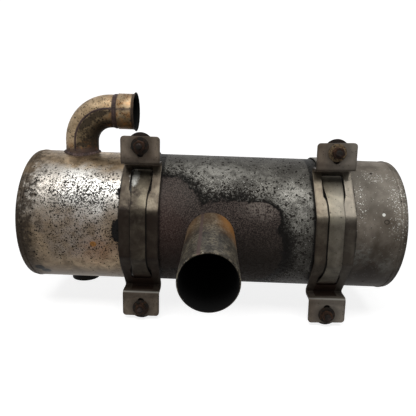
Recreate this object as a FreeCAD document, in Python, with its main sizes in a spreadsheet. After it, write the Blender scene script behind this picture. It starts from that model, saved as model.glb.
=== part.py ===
"""Exhaust muffler of a machine: a round welded drum with an elbow inlet on top, a straight
outlet stub at the front, a drain boss below, and two saddle brackets strapped to the drum.

Frame: +X along the drum, -Y out of the outlet stub, +Z up. The origin is on the drum's axis,
where the axis of the outlet stub crosses it. All sizes are in millimetres and degrees.
"""
import FreeCAD, Part
import os

import Sketcher

from FreeCAD import Placement, Rotation, Vector

doc = FreeCAD.newDocument("muffler")

# Driving dimensions
SIZES = {
    "shell_diameter": 180,
    "drum_length": 492,
    "shell_wall": 1.5,
    "cap_wall": 2,
    "cap_skirt": 7,
    "cap_corner_radius": 3.5,
    "cap_dish_diameter": 136,
    "cap_dish_depth": 5,
    "cap_dish_slope": 8,
    "end_bead_half_width": 1.8,
    "end_bead_height": 0.7,
    "seam_bead_radius": 2.5,
    "seam_bead_height": 0.5,
    "outlet_diameter": 60.3,
    "outlet_wall": 2,
    "outlet_length": 142,
    "outlet_past_axis": 2,
    "outlet_weld_leg": 5,
    "inlet_from_end": 61.7,
    "inlet_rise": 57,
    "inlet_reach": 76.5,
    "inlet_diameter": 44.5,
    "inlet_wall": 1.5,
    "inlet_bend_radius": 42,
    "inlet_inside_length": 8,
    "inlet_weld_leg": 4,
    "seam_turn": 9,
    "half_shell_bead_radius": 1.3,
    "collar_wall": 1.7,
    "collar_length": 24,
    "collar_overlap": 16,
    "flare_length": 5,
    "flare_height": 2.3,
    "collar_bead_half_width": 2.9,
    "collar_bead_height": 1.1,
    "drain_from_end": 60,
    "drain_boss_diameter": 40,
    "drain_boss_drop": 8,
    "drain_boss_inside": 4,
    "drain_thread_diameter": 22,
    "drain_plug_drop": 3,
    "drain_plug_hexagon": 10,
    "drain_plug_recess": 7,
    "baffle_wall": 1.5,
    "baffle_rim": 12,
    "baffle_left_from_end": 124,
    "baffle_right_from_end": 128,
    "tube_diameter": 42,
    "tube_wall": 1.5,
    "tube_spread": 38,
    "tube_set_back": 38,
    "tube_end": 40,
    "tube_hole_diameter": 9,
    "tube_hole_pitch": 40,
    "tube_fit": 0.1,
    "hole_gap": 0.3,
    "clamp_left_from_end": 156,
    "clamp_right_from_end": 91,
    "clamp_right_skew": 2.2,
    "saddle_width": 48.5,
    "saddle_wall": 3,
    "saddle_fold_turn": 36,
    "flange_below_top": 5.4,
    "ear_set_back": 13.5,
    "ear_length": 35.1,
    "ear_corner_radius": 4.5,
    "fold_outer_radius": 5,
    "window_width": 28,
    "window_lead": 1.5,
    "window_corner_radius": 4,
    "window_upper_margin": 6.6,
    "window_lower_margin": 13.6,
    "seat_gap": 0.7,
    "band_width": 25,
    "band_waist_width": 19,
    "band_waist_height": 70,
    "band_taper": 16,
    "band_wall": 1.2,
    "band_dive_turn": 50,
    "bolt_diameter": 8,
    "bolt_edge_distance": 11.7,
    "bolt_slot_width": 9,
    "bolt_slot_length": 19.5,
    "bolt_slot_edge_distance": 6.2,
    "bolt_head_height": 5.3,
    "bolt_stand_out": 3.2,
    "nut_hexagon": 13,
    "nut_height": 6.5,
    "thread_gap": 0.1,
    "washer_diameter": 22,
    "washer_wall": 1.6,
    "backing_diameter": 33,
    "backing_wall": 2.5,
}
TUBE_HOLE_RINGS = 3
CORNER_TURNS = (0, 30, 60, 90)
BEAD_TURNS = (0, 60, 120, 180)

sizes = doc.addObject("Spreadsheet::Sheet", "sizes")
for row, (word, value) in enumerate(SIZES.items(), start=1):
    sizes.set(f"A{row}", word)
    sizes.set(f"B{row}", str(value))
    sizes.setAlias(f"B{row}", word)

# Sizes that follow from the driving ones
FOLLOWING = {
    "shell_radius": "sizes.shell_diameter / 2",
    "bore_radius": "shell_radius - sizes.shell_wall",
    "shell_length": "sizes.drum_length - 2 * sizes.cap_skirt",
    "joint_offset": "shell_length / 2",
    "end_offset": "sizes.drum_length / 2",
    "dish_radius": "sizes.cap_dish_diameter / 2",
    "outlet_radius": "sizes.outlet_diameter / 2",
    "inlet_radius": "sizes.inlet_diameter / 2",
    "outlet_reach": "shell_radius + sizes.outlet_length",
    "inlet_offset": "end_offset - sizes.inlet_from_end",
    "inlet_axis_height": "shell_radius + sizes.inlet_rise",
    "drain_offset": "end_offset - sizes.drain_from_end",
    "baffle_left_offset": "end_offset - sizes.baffle_left_from_end",
    "baffle_right_offset": "end_offset - sizes.baffle_right_from_end",
    "clamp_left_offset": "end_offset - sizes.clamp_left_from_end",
    "clamp_right_offset": "end_offset - sizes.clamp_right_from_end",
    "flange_height": "shell_radius - sizes.flange_below_top",
    "ear_depth": "shell_radius - sizes.ear_set_back",
    "ear_reach": "flange_height + sizes.ear_length",
    "bolt_height": "ear_reach - sizes.bolt_edge_distance",
    "inlet_foot": "bore_radius - sizes.inlet_inside_length",
    "bend_start": "inlet_axis_height - sizes.inlet_bend_radius",
    "collar_mouth": "sizes.inlet_reach - inlet_offset",
    "collar_start": "collar_mouth - sizes.collar_length",
    "elbow_end": "collar_start + sizes.collar_overlap",
    "collar_inner": "inlet_radius + sizes.tube_fit",
    "collar_outer": "collar_inner + sizes.collar_wall",
    "tube_radius": "sizes.tube_diameter / 2",
    "boss_radius": "sizes.drain_boss_diameter / 2",
    "thread_radius": "sizes.drain_thread_diameter / 2",
    "boss_bottom": "shell_radius + sizes.drain_boss_drop",
    "saddle_inner": "shell_radius + sizes.seat_gap",
    "saddle_outer": "saddle_inner + sizes.saddle_wall",
    "fold_half": "sizes.saddle_fold_turn / 2",
    "band_on_saddle": "saddle_outer + sizes.seat_gap",
    "band_on_shell": "shell_radius + sizes.seat_gap",
    "dive_turn": "sizes.band_dive_turn - sizes.saddle_fold_turn",
    "flange_outer": "flange_height + sizes.saddle_wall",
    "ear_back": "ear_depth - sizes.saddle_wall",
    "flange_root": "(saddle_outer - flange_height * sin(sizes.saddle_fold_turn))"
                   " / cos(sizes.saddle_fold_turn)",
    "flange_root_back": "(saddle_inner - flange_outer * sin(sizes.saddle_fold_turn))"
                        " / cos(sizes.saddle_fold_turn)",
    "band_leaves_saddle": "(band_on_shell * cos(sizes.saddle_fold_turn)"
                          " - band_on_saddle * cos(sizes.band_dive_turn)) / sin(dive_turn)",
    "window_start": "band_leaves_saddle - sizes.window_lead",
    "window_upper_end": "flange_height - sizes.window_upper_margin",
    "window_lower_end": "flange_height - sizes.window_lower_margin",
    "fold_inner_radius": "sizes.fold_outer_radius - sizes.saddle_wall",
    "slot_high": "ear_reach - sizes.bolt_slot_edge_distance - sizes.bolt_slot_width / 2",
    "slot_low": "slot_high + sizes.bolt_slot_width - sizes.bolt_slot_length",
    "bolt_radius": "sizes.bolt_diameter / 2",
    "bolt_seat": "ear_back - sizes.backing_wall",
    "bolt_length": "sizes.backing_wall + sizes.saddle_wall + sizes.washer_wall + sizes.nut_height"
                   " + sizes.bolt_stand_out",
    "taper_run": "sizes.band_taper * (2 * sizes.band_width - sizes.band_waist_width)"
                 " / (sizes.band_width - sizes.band_waist_width)",
    "seam_foot": "shell_radius + sizes.inlet_weld_leg + sizes.hole_gap",
    "seam_end": "collar_start - 2 * sizes.collar_bead_half_width",
}
derived = doc.addObject("Spreadsheet::Sheet", "derived")
for row, word in enumerate(FOLLOWING, start=1):
    derived.set(f"A{row}", word)
    derived.setAlias(f"B{row}", word)
for row, formula in enumerate(FOLLOWING.values(), start=1):
    derived.set(f"B{row}", "=" + formula)
doc.recompute()

TURN_TO = {
    "+X": Rotation(Vector(0, 0, 1), Vector(1, 0, 0)),
    "+Y": Rotation(Vector(0, 0, 1), Vector(0, 1, 0)),
    "-Y": Rotation(Vector(0, 0, 1), Vector(0, -1, 0)),
    "+Z": Rotation(),
    "-Z": Rotation(Vector(0, 0, 1), Vector(0, 0, -1)),
}


def bind(item, **formulas):
    """Tie properties of an object to formulas over the two sheets."""
    for name, formula in formulas.items():
        item.setExpression(name, formula)
    return item


def place(item, direction, spot):
    """Turn an object's own +Z to a direction and tie its base point to three formulas."""
    item.Placement = Placement(Vector(0, 0, 0), TURN_TO[direction])
    for letter, formula in zip("xyz", spot):
        item.setExpression("Placement.Base." + letter, formula)
    return item


def rod(name, radius, length, direction, spot=("0", "0", "0")):
    """A cylinder that starts at a spot and runs in a direction."""
    item = doc.addObject("Part::Cylinder", name)
    bind(item, Radius=radius, Height=length)
    return place(item, direction, spot)


def hexagon(name, across_flats, length, direction, spot):
    """A six-sided prism, sized by its width across the flats."""
    item = doc.addObject("Part::Prism", name)
    item.Polygon = 6
    bind(item, Circumradius=f"{across_flats} / (2 * cos(30))", Height=length)
    return place(item, direction, spot)


def cut(name, base, *tools):
    """The base with each tool taken out of it in turn."""
    for step, tool in enumerate(tools, start=1):
        item = doc.addObject("Part::Cut", name if step == len(tools) else f"{name}_step_{step}")
        item.Base = base
        item.Tool = tool
        base = item
    return base


def common(name, base, tool):
    """What two solids share."""
    item = doc.addObject("Part::Common", name)
    item.Base = base
    item.Tool = tool
    return item


def group(name, members):
    """Separate solids of one kind, kept together."""
    item = doc.addObject("Part::Compound", name)
    item.Links = members
    return item


def new_body(name):
    """An empty body."""
    return doc.addObject("PartDesign::Body", name)


def new_sketch(body, name, plane, offset="0"):
    """A sketch on one of the body's own origin planes, lifted off it by a formula."""
    item = body.newObject("Sketcher::SketchObject", name)
    origin_plane = next(p for p in body.Origin.OriginFeatures if p.Role == plane)
    item.AttachmentSupport = [(origin_plane, "")]
    item.MapMode = "FlatFace"
    item.setExpression("AttachmentOffset.Base.z", offset)
    doc.recompute()
    return item


def hold(item, kind, first, point, formula, anchor=(-1, 1)):
    """A distance from the sketch's origin to a point, tied to a formula."""
    value = float(item.evalExpression(formula))
    constraint = Sketcher.Constraint(kind, anchor[0], anchor[1], first, point, value)
    index = item.addConstraint(constraint)
    item.setExpression(f"Constraints[{index}]", formula)


def hold_point(item, first, point, across, upward):
    """Tie one point of a sketch to two formulas."""
    hold(item, "DistanceX", first, point, across)
    hold(item, "DistanceY", first, point, upward)


def draw_outline(item, corners):
    """A closed outline of straight lines through corners, each a pair of formulas."""
    spots = [Vector(float(item.evalExpression(a)), float(item.evalExpression(b)), 0) for a, b in corners]
    first = item.GeometryCount
    count = len(corners)
    for step in range(count):
        item.addGeometry(Part.LineSegment(spots[step], spots[(step + 1) % count]), False)
    for step in range(count):
        following = first + (step + 1) % count
        item.addConstraint(Sketcher.Constraint("Coincident", first + step, 2, following, 1))
    for step, (across, upward) in enumerate(corners):
        hold_point(item, first + step, 1, across, upward)


def draw_circle(item, radius, across="0", upward="0"):
    """A circle whose radius and centre are formulas."""
    centre = Vector(float(item.evalExpression(across)), float(item.evalExpression(upward)), 0)
    size = float(item.evalExpression(radius))
    ring = item.addGeometry(Part.Circle(centre, Vector(0, 0, 1), size), False)
    index = item.addConstraint(Sketcher.Constraint("Radius", ring, size))
    item.setExpression(f"Constraints[{index}]", radius)
    hold_point(item, ring, 3, across, upward)


def pad(body, name, profile, length):
    """Thicken a sketch to both sides of its plane."""
    item = body.newObject("PartDesign::Pad", name)
    item.Profile = profile
    item.setExpression("Length", length)
    item.SideType = "Symmetric"
    doc.recompute()
    return item


def pocket(body, name, profile, length):
    """Cut a sketch out of the body to both sides, and check that something was cut."""
    before = body.Shape.Volume
    item = body.newObject("PartDesign::Pocket", name)
    item.Profile = profile
    item.setExpression("Length", length)
    item.SideType = "Symmetric"
    doc.recompute()
    if not body.Shape.Volume < before:
        raise ValueError(name + " cuts nothing")
    return item


def revolve(body, name, profile, axis):
    """Turn a sketch once round one of its own axes."""
    item = body.newObject("PartDesign::Revolution", name)
    item.Profile = profile
    item.ReferenceAxis = (profile, [axis])
    item.Angle = 360
    doc.recompute()
    return item


def round_edges(body, name, radius, wanted):
    """Fillet the edges that a test picks out."""
    tip = body.Tip
    names = [f"Edge{n}" for n, edge in enumerate(tip.Shape.Edges, start=1) if wanted(edge)]
    if not names:
        raise ValueError(name + " finds no edge")
    item = body.newObject("PartDesign::Fillet", name)
    item.Base = (tip, names)
    item.setExpression("Radius", radius)
    doc.recompute()
    return item


def number(formula):
    """A formula's present value."""
    return float(sizes.evalExpression(formula))


def near(value, formula, slack=0.05):
    """Whether a length equals a formula's value."""
    return abs(value - number(formula)) < slack


# Drum: a rolled shell with openings for the two pipes and the drain boss


def make_shell():
    length = "derived.shell_length"
    start = ("-derived.joint_offset", "0", "0")
    outside = rod("shell_outside", "derived.shell_radius", length, "+X", start)
    inside = rod("shell_inside", "derived.bore_radius", length, "+X", start)
    outlet = rod("shell_outlet_hole", "derived.outlet_radius + sizes.hole_gap",
                 "derived.shell_radius", "-Y")
    inlet = rod("shell_inlet_hole", "derived.inlet_radius + sizes.hole_gap",
                "derived.shell_radius", "+Z", ("-derived.inlet_offset", "0", "0"))
    drain = rod("shell_drain_hole", "derived.boss_radius + sizes.hole_gap",
                "derived.shell_radius", "-Z", ("-derived.drain_offset", "0", "0"))
    return cut("shell", outside, inside, outlet, inlet, drain)


def make_shell_seam():
    """The lengthwise weld of the rolled shell, at the back."""
    middle = "derived.shell_radius + sizes.seam_bead_height - sizes.seam_bead_radius"
    start = ("-derived.joint_offset + sizes.end_bead_half_width", middle, "0")
    bead = rod("seam_bead", "sizes.seam_bead_radius",
               "derived.shell_length - 2 * sizes.end_bead_half_width", "+X", start)
    inside = rod("seam_inside", "derived.shell_radius", "derived.shell_length", "+X",
                 ("-derived.joint_offset", "0", "0"))
    return cut("shell_seam_weld", bead, inside)


def make_end_cap(side):
    """A pressed cap: a short skirt, a corner rounded in three flats and a dished middle."""
    sign = {"left": "-1", "right": "1"}[side]
    body = new_body("end_cap_" + side)
    profile = new_sketch(body, f"cap_{side}_profile", "XZ_Plane")
    joint, end = "derived.joint_offset", "derived.end_offset"
    outside, wall, corner = "derived.shell_radius", "sizes.cap_wall", "sizes.cap_corner_radius"
    dish_end, dish_foot = f"{end} - sizes.cap_dish_depth", "derived.dish_radius - sizes.cap_dish_slope"
    outer = [
        (f"{end} - {corner} * (1 - sin({turn}))", f"{outside} - {corner} * (1 - cos({turn}))")
        for turn in CORNER_TURNS
    ]
    inner = [
        (f"{end} - {corner} + ({corner} - {wall}) * sin({turn})",
         f"{outside} - {corner} + ({corner} - {wall}) * cos({turn})")
        for turn in CORNER_TURNS
    ]
    rows = [(joint, outside)] + outer + [
        (end, "derived.dish_radius"),
        (dish_end, dish_foot),
        (dish_end, "0"),
        (f"{dish_end} - {wall}", "0"),
        (f"{dish_end} - {wall}", dish_foot),
        (f"{end} - {wall}", "derived.dish_radius"),
    ] + inner[::-1] + [(joint, f"{outside} - {wall}")]
    draw_outline(profile, [(f"{sign} * ({across})", upward) for across, upward in rows])
    revolve(body, f"cap_{side}_turned", profile, "H_Axis")
    return body


def make_ring_bead(name, centre, inside, half_width, height):
    """A weld bead round the X axis: half a flattened hexagon that sits on a round surface."""
    body = new_body(name)
    profile = new_sketch(body, name + "_profile", "XZ_Plane")
    draw_outline(profile, [
        (f"{centre} - {half_width} * cos({turn})", f"{inside} + {height} * sin({turn})")
        for turn in BEAD_TURNS
    ])
    revolve(body, name + "_turned", profile, "H_Axis")
    return body


def make_end_weld(side):
    """The bead that joins a cap to the shell."""
    sign = {"left": "-", "right": ""}[side]
    return make_ring_bead("end_weld_" + side, sign + "derived.joint_offset", "derived.shell_radius",
                          "sizes.end_bead_half_width", "sizes.end_bead_height")


# Inside: two baffles, and two perforated tubes that cross them


def make_baffle(side):
    """A disc with a turned rim that seats in the shell, and a hole for each tube."""
    sign = {"left": "-1", "right": "1"}[side]
    where = f"derived.baffle_{side}_offset"
    body = new_body("baffle_" + side)
    profile = new_sketch(body, f"baffle_{side}_profile", "XZ_Plane")
    edge = "derived.bore_radius - sizes.tube_fit"
    rows = [
        (where, "0"),
        (where, edge),
        (f"{where} - sizes.baffle_rim", edge),
        (f"{where} - sizes.baffle_rim", f"{edge} - sizes.baffle_wall"),
        (f"{where} - sizes.baffle_wall", f"{edge} - sizes.baffle_wall"),
        (f"{where} - sizes.baffle_wall", "0"),
    ]
    draw_outline(profile, [(f"{sign} * ({across})", upward) for across, upward in rows])
    revolve(body, f"baffle_{side}_turned", profile, "H_Axis")
    holes = new_sketch(body, f"baffle_{side}_holes", "YZ_Plane")
    for upward in ("sizes.tube_spread", "-sizes.tube_spread"):
        draw_circle(holes, "derived.tube_radius + sizes.tube_fit", "sizes.tube_set_back", upward)
    pocket(body, f"baffle_{side}_cut", holes, "sizes.drum_length")
    return body


def make_inner_tube(name, upward):
    """A tube with rings of round holes between the baffles."""
    body = new_body(name)
    ring = new_sketch(body, name + "_ring", "YZ_Plane")
    draw_circle(ring, "derived.tube_radius")
    draw_circle(ring, "derived.tube_radius - sizes.tube_wall")
    pad(body, name + "_wall", ring,
        "derived.baffle_left_offset + derived.baffle_right_offset + 2 * sizes.tube_end")
    for plane in ("XZ_Plane", "XY_Plane"):
        holes = new_sketch(body, f"{name}_holes_{plane[:2]}", plane)
        for step in range(TUBE_HOLE_RINGS):
            place_along = f"{step - (TUBE_HOLE_RINGS - 1) / 2} * sizes.tube_hole_pitch"
            draw_circle(holes, "sizes.tube_hole_diameter / 2", place_along)
        pocket(body, f"{name}_cut_{plane[:2]}", holes, "sizes.tube_diameter * 2")
    body.setExpression("Placement.Base.x", "(derived.baffle_right_offset - derived.baffle_left_offset) / 2")
    body.setExpression("Placement.Base.y", "sizes.tube_set_back")
    body.setExpression("Placement.Base.z", upward)
    return body


# Outlet: a straight stub that reaches in to the drum's axis


def make_outlet_pipe():
    length = "derived.outlet_reach + sizes.outlet_past_axis"
    start = ("0", "sizes.outlet_past_axis", "0")
    outside = rod("outlet_outside", "derived.outlet_radius", length, "-Y", start)
    inside = rod("outlet_inside", "derived.outlet_radius - sizes.outlet_wall", length, "-Y", start)
    return cut("outlet_pipe", outside, inside)


def make_branch_weld(name, radius, leg, direction, along):
    """A weld round a branch pipe, which follows the curve of the shell."""
    spot = (along, "0", "0")
    length = f"derived.shell_radius + 2 * {leg}"
    outer = rod(name + "_outer", f"{radius} + {leg}", length, direction, spot)
    inner = rod(name + "_inner", radius, length, direction, spot)
    start = ("-derived.joint_offset", "0", "0")
    limit = rod(name + "_limit", f"derived.shell_radius + {leg}", "derived.shell_length", "+X", start)
    drum = rod(name + "_drum", "derived.shell_radius", "derived.shell_length", "+X", start)
    collar = common(name + "_collar", outer, limit)
    return cut(name, collar, inner, drum)


# Inlet: an elbow of two pressed halves, a flared collar and their welds


def elbow_path(body, name, sideways, shift, foot, end):
    """Up the leg, round a quarter bend and along to the end, in a plane parallel to XZ. A shift
    moves the whole line towards the outside of the bend."""
    item = new_sketch(body, name, "XZ_Plane", sideways)
    leg = f"-derived.inlet_offset - {shift}"
    top = f"derived.inlet_axis_height + {shift}"
    bend_radius = f"sizes.inlet_bend_radius + {shift}"
    turn = "-derived.inlet_offset + sizes.inlet_bend_radius"
    bend_start = number("derived.bend_start")
    centre = Vector(number(turn), bend_start, 0)
    right_angle = FreeCAD.Units.Quantity("90 deg").getValueAs("rad").Value
    foot_point = Vector(number(leg), number(foot), 0)
    item.addGeometry(Part.LineSegment(foot_point, Vector(number(leg), bend_start, 0)), False)
    bend = Part.Circle(centre, Vector(0, 0, 1), number(bend_radius))
    item.addGeometry(Part.ArcOfCircle(bend, right_angle, 2 * right_angle), False)
    bend_end = Vector(number(turn), number(top), 0)
    item.addGeometry(Part.LineSegment(bend_end, Vector(number(end), number(top), 0)), False)
    item.addConstraint(Sketcher.Constraint("Tangent", 0, 2, 1, 2))
    item.addConstraint(Sketcher.Constraint("Tangent", 1, 1, 2, 1))
    item.addConstraint(Sketcher.Constraint("Vertical", 0))
    item.addConstraint(Sketcher.Constraint("Horizontal", 2))
    hold_point(item, 0, 1, leg, foot)
    hold_point(item, 2, 2, end, top)
    index = item.addConstraint(Sketcher.Constraint("Radius", 1, number(bend_radius)))
    item.setExpression(f"Constraints[{index}]", bend_radius)
    doc.recompute()
    return item


def pipe(body, name, profile, path):
    """Carry a sketch along a path."""
    item = body.newObject("PartDesign::AdditivePipe", name)
    item.Profile = profile
    item.Spine = path
    item.Mode = "Frenet"
    doc.recompute()
    return item


def draw_half_ring(item, outer, inner, side):
    """Half of a ring round the leg's axis: the side away from the bend's centre, or the other.
    The two joints lie turned by the seam's angle towards the outside of the bend."""
    turn = number("sizes.seam_turn")
    first, last = (90 + turn, 270 - turn) if side == "outer" else (-90 - turn, 90 + turn)
    to_radians = FreeCAD.Units.Quantity("1 deg").getValueAs("rad").Value
    centre = Vector(number("-derived.inlet_offset"), 0, 0)
    arcs = []
    for radius in (outer, inner):
        ring = Part.Circle(centre, Vector(0, 0, 1), number(radius))
        arc = item.addGeometry(Part.ArcOfCircle(ring, first * to_radians, last * to_radians), False)
        index = item.addConstraint(Sketcher.Constraint("Radius", arc, number(radius)))
        item.setExpression(f"Constraints[{index}]", radius)
        hold_point(item, arc, 3, "-derived.inlet_offset", "0")
        for end in (1, 2):
            hold(item, "DistanceX", arc, end, f"-derived.inlet_offset - ({radius}) * sin(sizes.seam_turn)")
        arcs.append(arc)
    for end in (1, 2):
        joint = Part.LineSegment(item.getPoint(arcs[0], end), item.getPoint(arcs[1], end))
        line = item.addGeometry(joint, False)
        item.addConstraint(Sketcher.Constraint("Coincident", line, 1, arcs[0], end))
        item.addConstraint(Sketcher.Constraint("Coincident", line, 2, arcs[1], end))


def make_elbow_half(side):
    name = f"inlet_elbow_{side}_half"
    body = new_body(name)
    profile = new_sketch(body, name + "_profile", "XY_Plane", "derived.inlet_foot")
    draw_half_ring(profile, "derived.inlet_radius", "derived.inlet_radius - sizes.inlet_wall", side)
    path = elbow_path(body, name + "_path", "0", "0", "derived.inlet_foot", "derived.elbow_end")
    pipe(body, name + "_wall", profile, path)
    return body


def make_elbow_core():
    """The space that the elbow fills to its outer face."""
    body = new_body("elbow_core")
    profile = new_sketch(body, "elbow_core_profile", "XY_Plane", "derived.inlet_foot")
    draw_circle(profile, "derived.inlet_radius", "-derived.inlet_offset")
    path = elbow_path(body, "elbow_core_path", "0", "0", "derived.inlet_foot", "derived.elbow_end")
    pipe(body, "elbow_core_solid", profile, path)
    return body


def make_elbow_seam(side, core):
    """The bead along one joint of the two halves."""
    sideways = {"front": "1", "back": "-1"}[side]
    name = "elbow_seam_weld_" + side
    body = new_body(name + "_bead")
    out = f"{sideways} * derived.inlet_radius * cos(sizes.seam_turn)"
    shift = "derived.inlet_radius * sin(sizes.seam_turn)"
    path = elbow_path(body, name + "_path", out, shift, "derived.seam_foot", "derived.seam_end")
    profile = new_sketch(body, name + "_profile", "XY_Plane", "derived.seam_foot")
    bead = "sizes.half_shell_bead_radius"
    draw_outline(profile, [
        (f"-derived.inlet_offset - {shift} + {bead} * cos({turn})", f"-({out}) + {bead} * sin({turn})")
        for turn in range(0, 360, 60)
    ])
    pipe(body, name + "_round", profile, path)
    return cut(name, body, core)


def make_inlet_collar():
    """A sleeve over the elbow's end that flares to a lip at the mouth."""
    body = new_body("inlet_collar")
    profile = new_sketch(body, "inlet_collar_profile", "XZ_Plane")
    rows = [
        ("derived.collar_start", "derived.collar_inner"),
        ("derived.collar_start", "derived.collar_outer"),
        ("derived.collar_mouth - sizes.flare_length", "derived.collar_outer"),
        ("derived.collar_mouth", "derived.collar_outer + sizes.flare_height"),
        ("derived.collar_mouth", "derived.collar_inner + sizes.flare_height"),
        ("derived.collar_mouth - sizes.flare_length", "derived.collar_inner"),
    ]
    draw_outline(profile, rows)
    revolve(body, "inlet_collar_turned", profile, "H_Axis")
    body.setExpression("Placement.Base.z", "derived.inlet_axis_height")
    return body


def make_collar_weld():
    """The bead round the elbow against the collar's edge."""
    half_width = "sizes.collar_bead_half_width"
    body = make_ring_bead("collar_weld", "derived.collar_start - " + half_width, "derived.inlet_radius",
                          half_width, "sizes.collar_bead_height")
    body.setExpression("Placement.Base.z", "derived.inlet_axis_height")
    return body


# Drain: a boss in the shell's underside with a screwed plug


def make_drain_boss():
    length = "derived.boss_bottom - derived.bore_radius + sizes.drain_boss_inside"
    start = ("-derived.drain_offset", "0", "-derived.bore_radius + sizes.drain_boss_inside")
    outside = rod("drain_boss_outside", "derived.boss_radius", length, "-Z", start)
    inside = rod("drain_boss_bore", "derived.thread_radius + sizes.thread_gap", length, "-Z", start)
    return cut("drain_boss", outside, inside)


def make_drain_plug():
    start = ("-derived.drain_offset", "0", "-derived.bore_radius + sizes.drain_boss_inside")
    length = "derived.boss_bottom - derived.bore_radius + sizes.drain_boss_inside - sizes.drain_plug_drop"
    outside = rod("drain_plug_outside", "derived.thread_radius", length, "-Z", start)
    foot = ("-derived.drain_offset", "0", "-derived.boss_bottom + sizes.drain_plug_drop")
    socket = hexagon("drain_plug_socket", "sizes.drain_plug_hexagon", "sizes.drain_plug_recess", "+Z", foot)
    return cut("drain_plug", outside, socket)


# Clamps: a folded saddle with two ears in front of the drum, and a band round both


def saddle_side(sign):
    """Half of the folded strip's outline: out along its front from the middle fold to the ear's
    edge, then back along its rear."""
    fold = "tan(derived.fold_half)"
    corners = [
        ("derived.saddle_outer", f"derived.saddle_outer * {fold}"),
        ("derived.flange_root", "derived.flange_height"),
        ("derived.ear_depth", "derived.flange_height"),
        ("derived.ear_depth", "derived.ear_reach"),
        ("derived.ear_back", "derived.ear_reach"),
        ("derived.ear_back", "derived.flange_outer"),
        ("derived.flange_root_back", "derived.flange_outer"),
        ("derived.saddle_inner", f"derived.saddle_inner * {fold}"),
    ]
    return [(f"-({out})", f"{sign} * ({up})") for out, up in corners]


def straight_along(edge, direction):
    """Whether an edge is a straight line in a direction."""
    if not isinstance(edge.Curve, Part.Line):
        return False
    return abs(abs(edge.tangentAt(edge.FirstParameter).dot(direction)) - 1) < 1e-6


def rectangle(across_low, across_high, low, high):
    """The corners of an upright rectangle."""
    return [(across_low, low), (across_high, low), (across_high, high), (across_low, high)]


def draw_slot(item, radius, low, high, sign):
    """An upright slot with round ends, on the sketch's middle line."""
    size = number(radius)
    bottom, top = sorted((number(f"{sign} * {low}"), number(f"{sign} * {high}")))
    half_turn = FreeCAD.Units.Quantity("180 deg").getValueAs("rad").Value
    top_ring = Part.Circle(Vector(0, top, 0), Vector(0, 0, 1), size)
    bottom_ring = Part.Circle(Vector(0, bottom, 0), Vector(0, 0, 1), size)
    cap = item.addGeometry(Part.ArcOfCircle(top_ring, 0, half_turn), False)
    foot = item.addGeometry(Part.ArcOfCircle(bottom_ring, half_turn, 2 * half_turn), False)
    left = item.addGeometry(Part.LineSegment(Vector(-size, top, 0), Vector(-size, bottom, 0)), False)
    right = item.addGeometry(Part.LineSegment(Vector(size, bottom, 0), Vector(size, top, 0)), False)
    item.addConstraint(Sketcher.Constraint("Tangent", cap, 2, left, 1))
    item.addConstraint(Sketcher.Constraint("Tangent", left, 2, foot, 1))
    item.addConstraint(Sketcher.Constraint("Tangent", foot, 2, right, 1))
    item.addConstraint(Sketcher.Constraint("Tangent", right, 2, cap, 1))
    index = item.addConstraint(Sketcher.Constraint("Radius", cap, size))
    item.setExpression(f"Constraints[{index}]", radius)
    upper, lower = (high, low) if sign == "1" else (low, high)
    hold_point(item, cap, 3, "0", f"{sign} * {upper}")
    hold_point(item, foot, 3, "0", f"{sign} * {lower}")


def seat_clamp(body, side):
    """Put a clamp piece at its station on the drum, turned by that clamp's skew."""
    body.Placement = Placement(Vector(0, 0, 0), Rotation(Vector(0, -1, 0), 1))
    body.setExpression("Placement.Base.x", CLAMPS[side]["station"])
    body.setExpression("Placement.Rotation.Angle", CLAMPS[side]["skew"])


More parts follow.
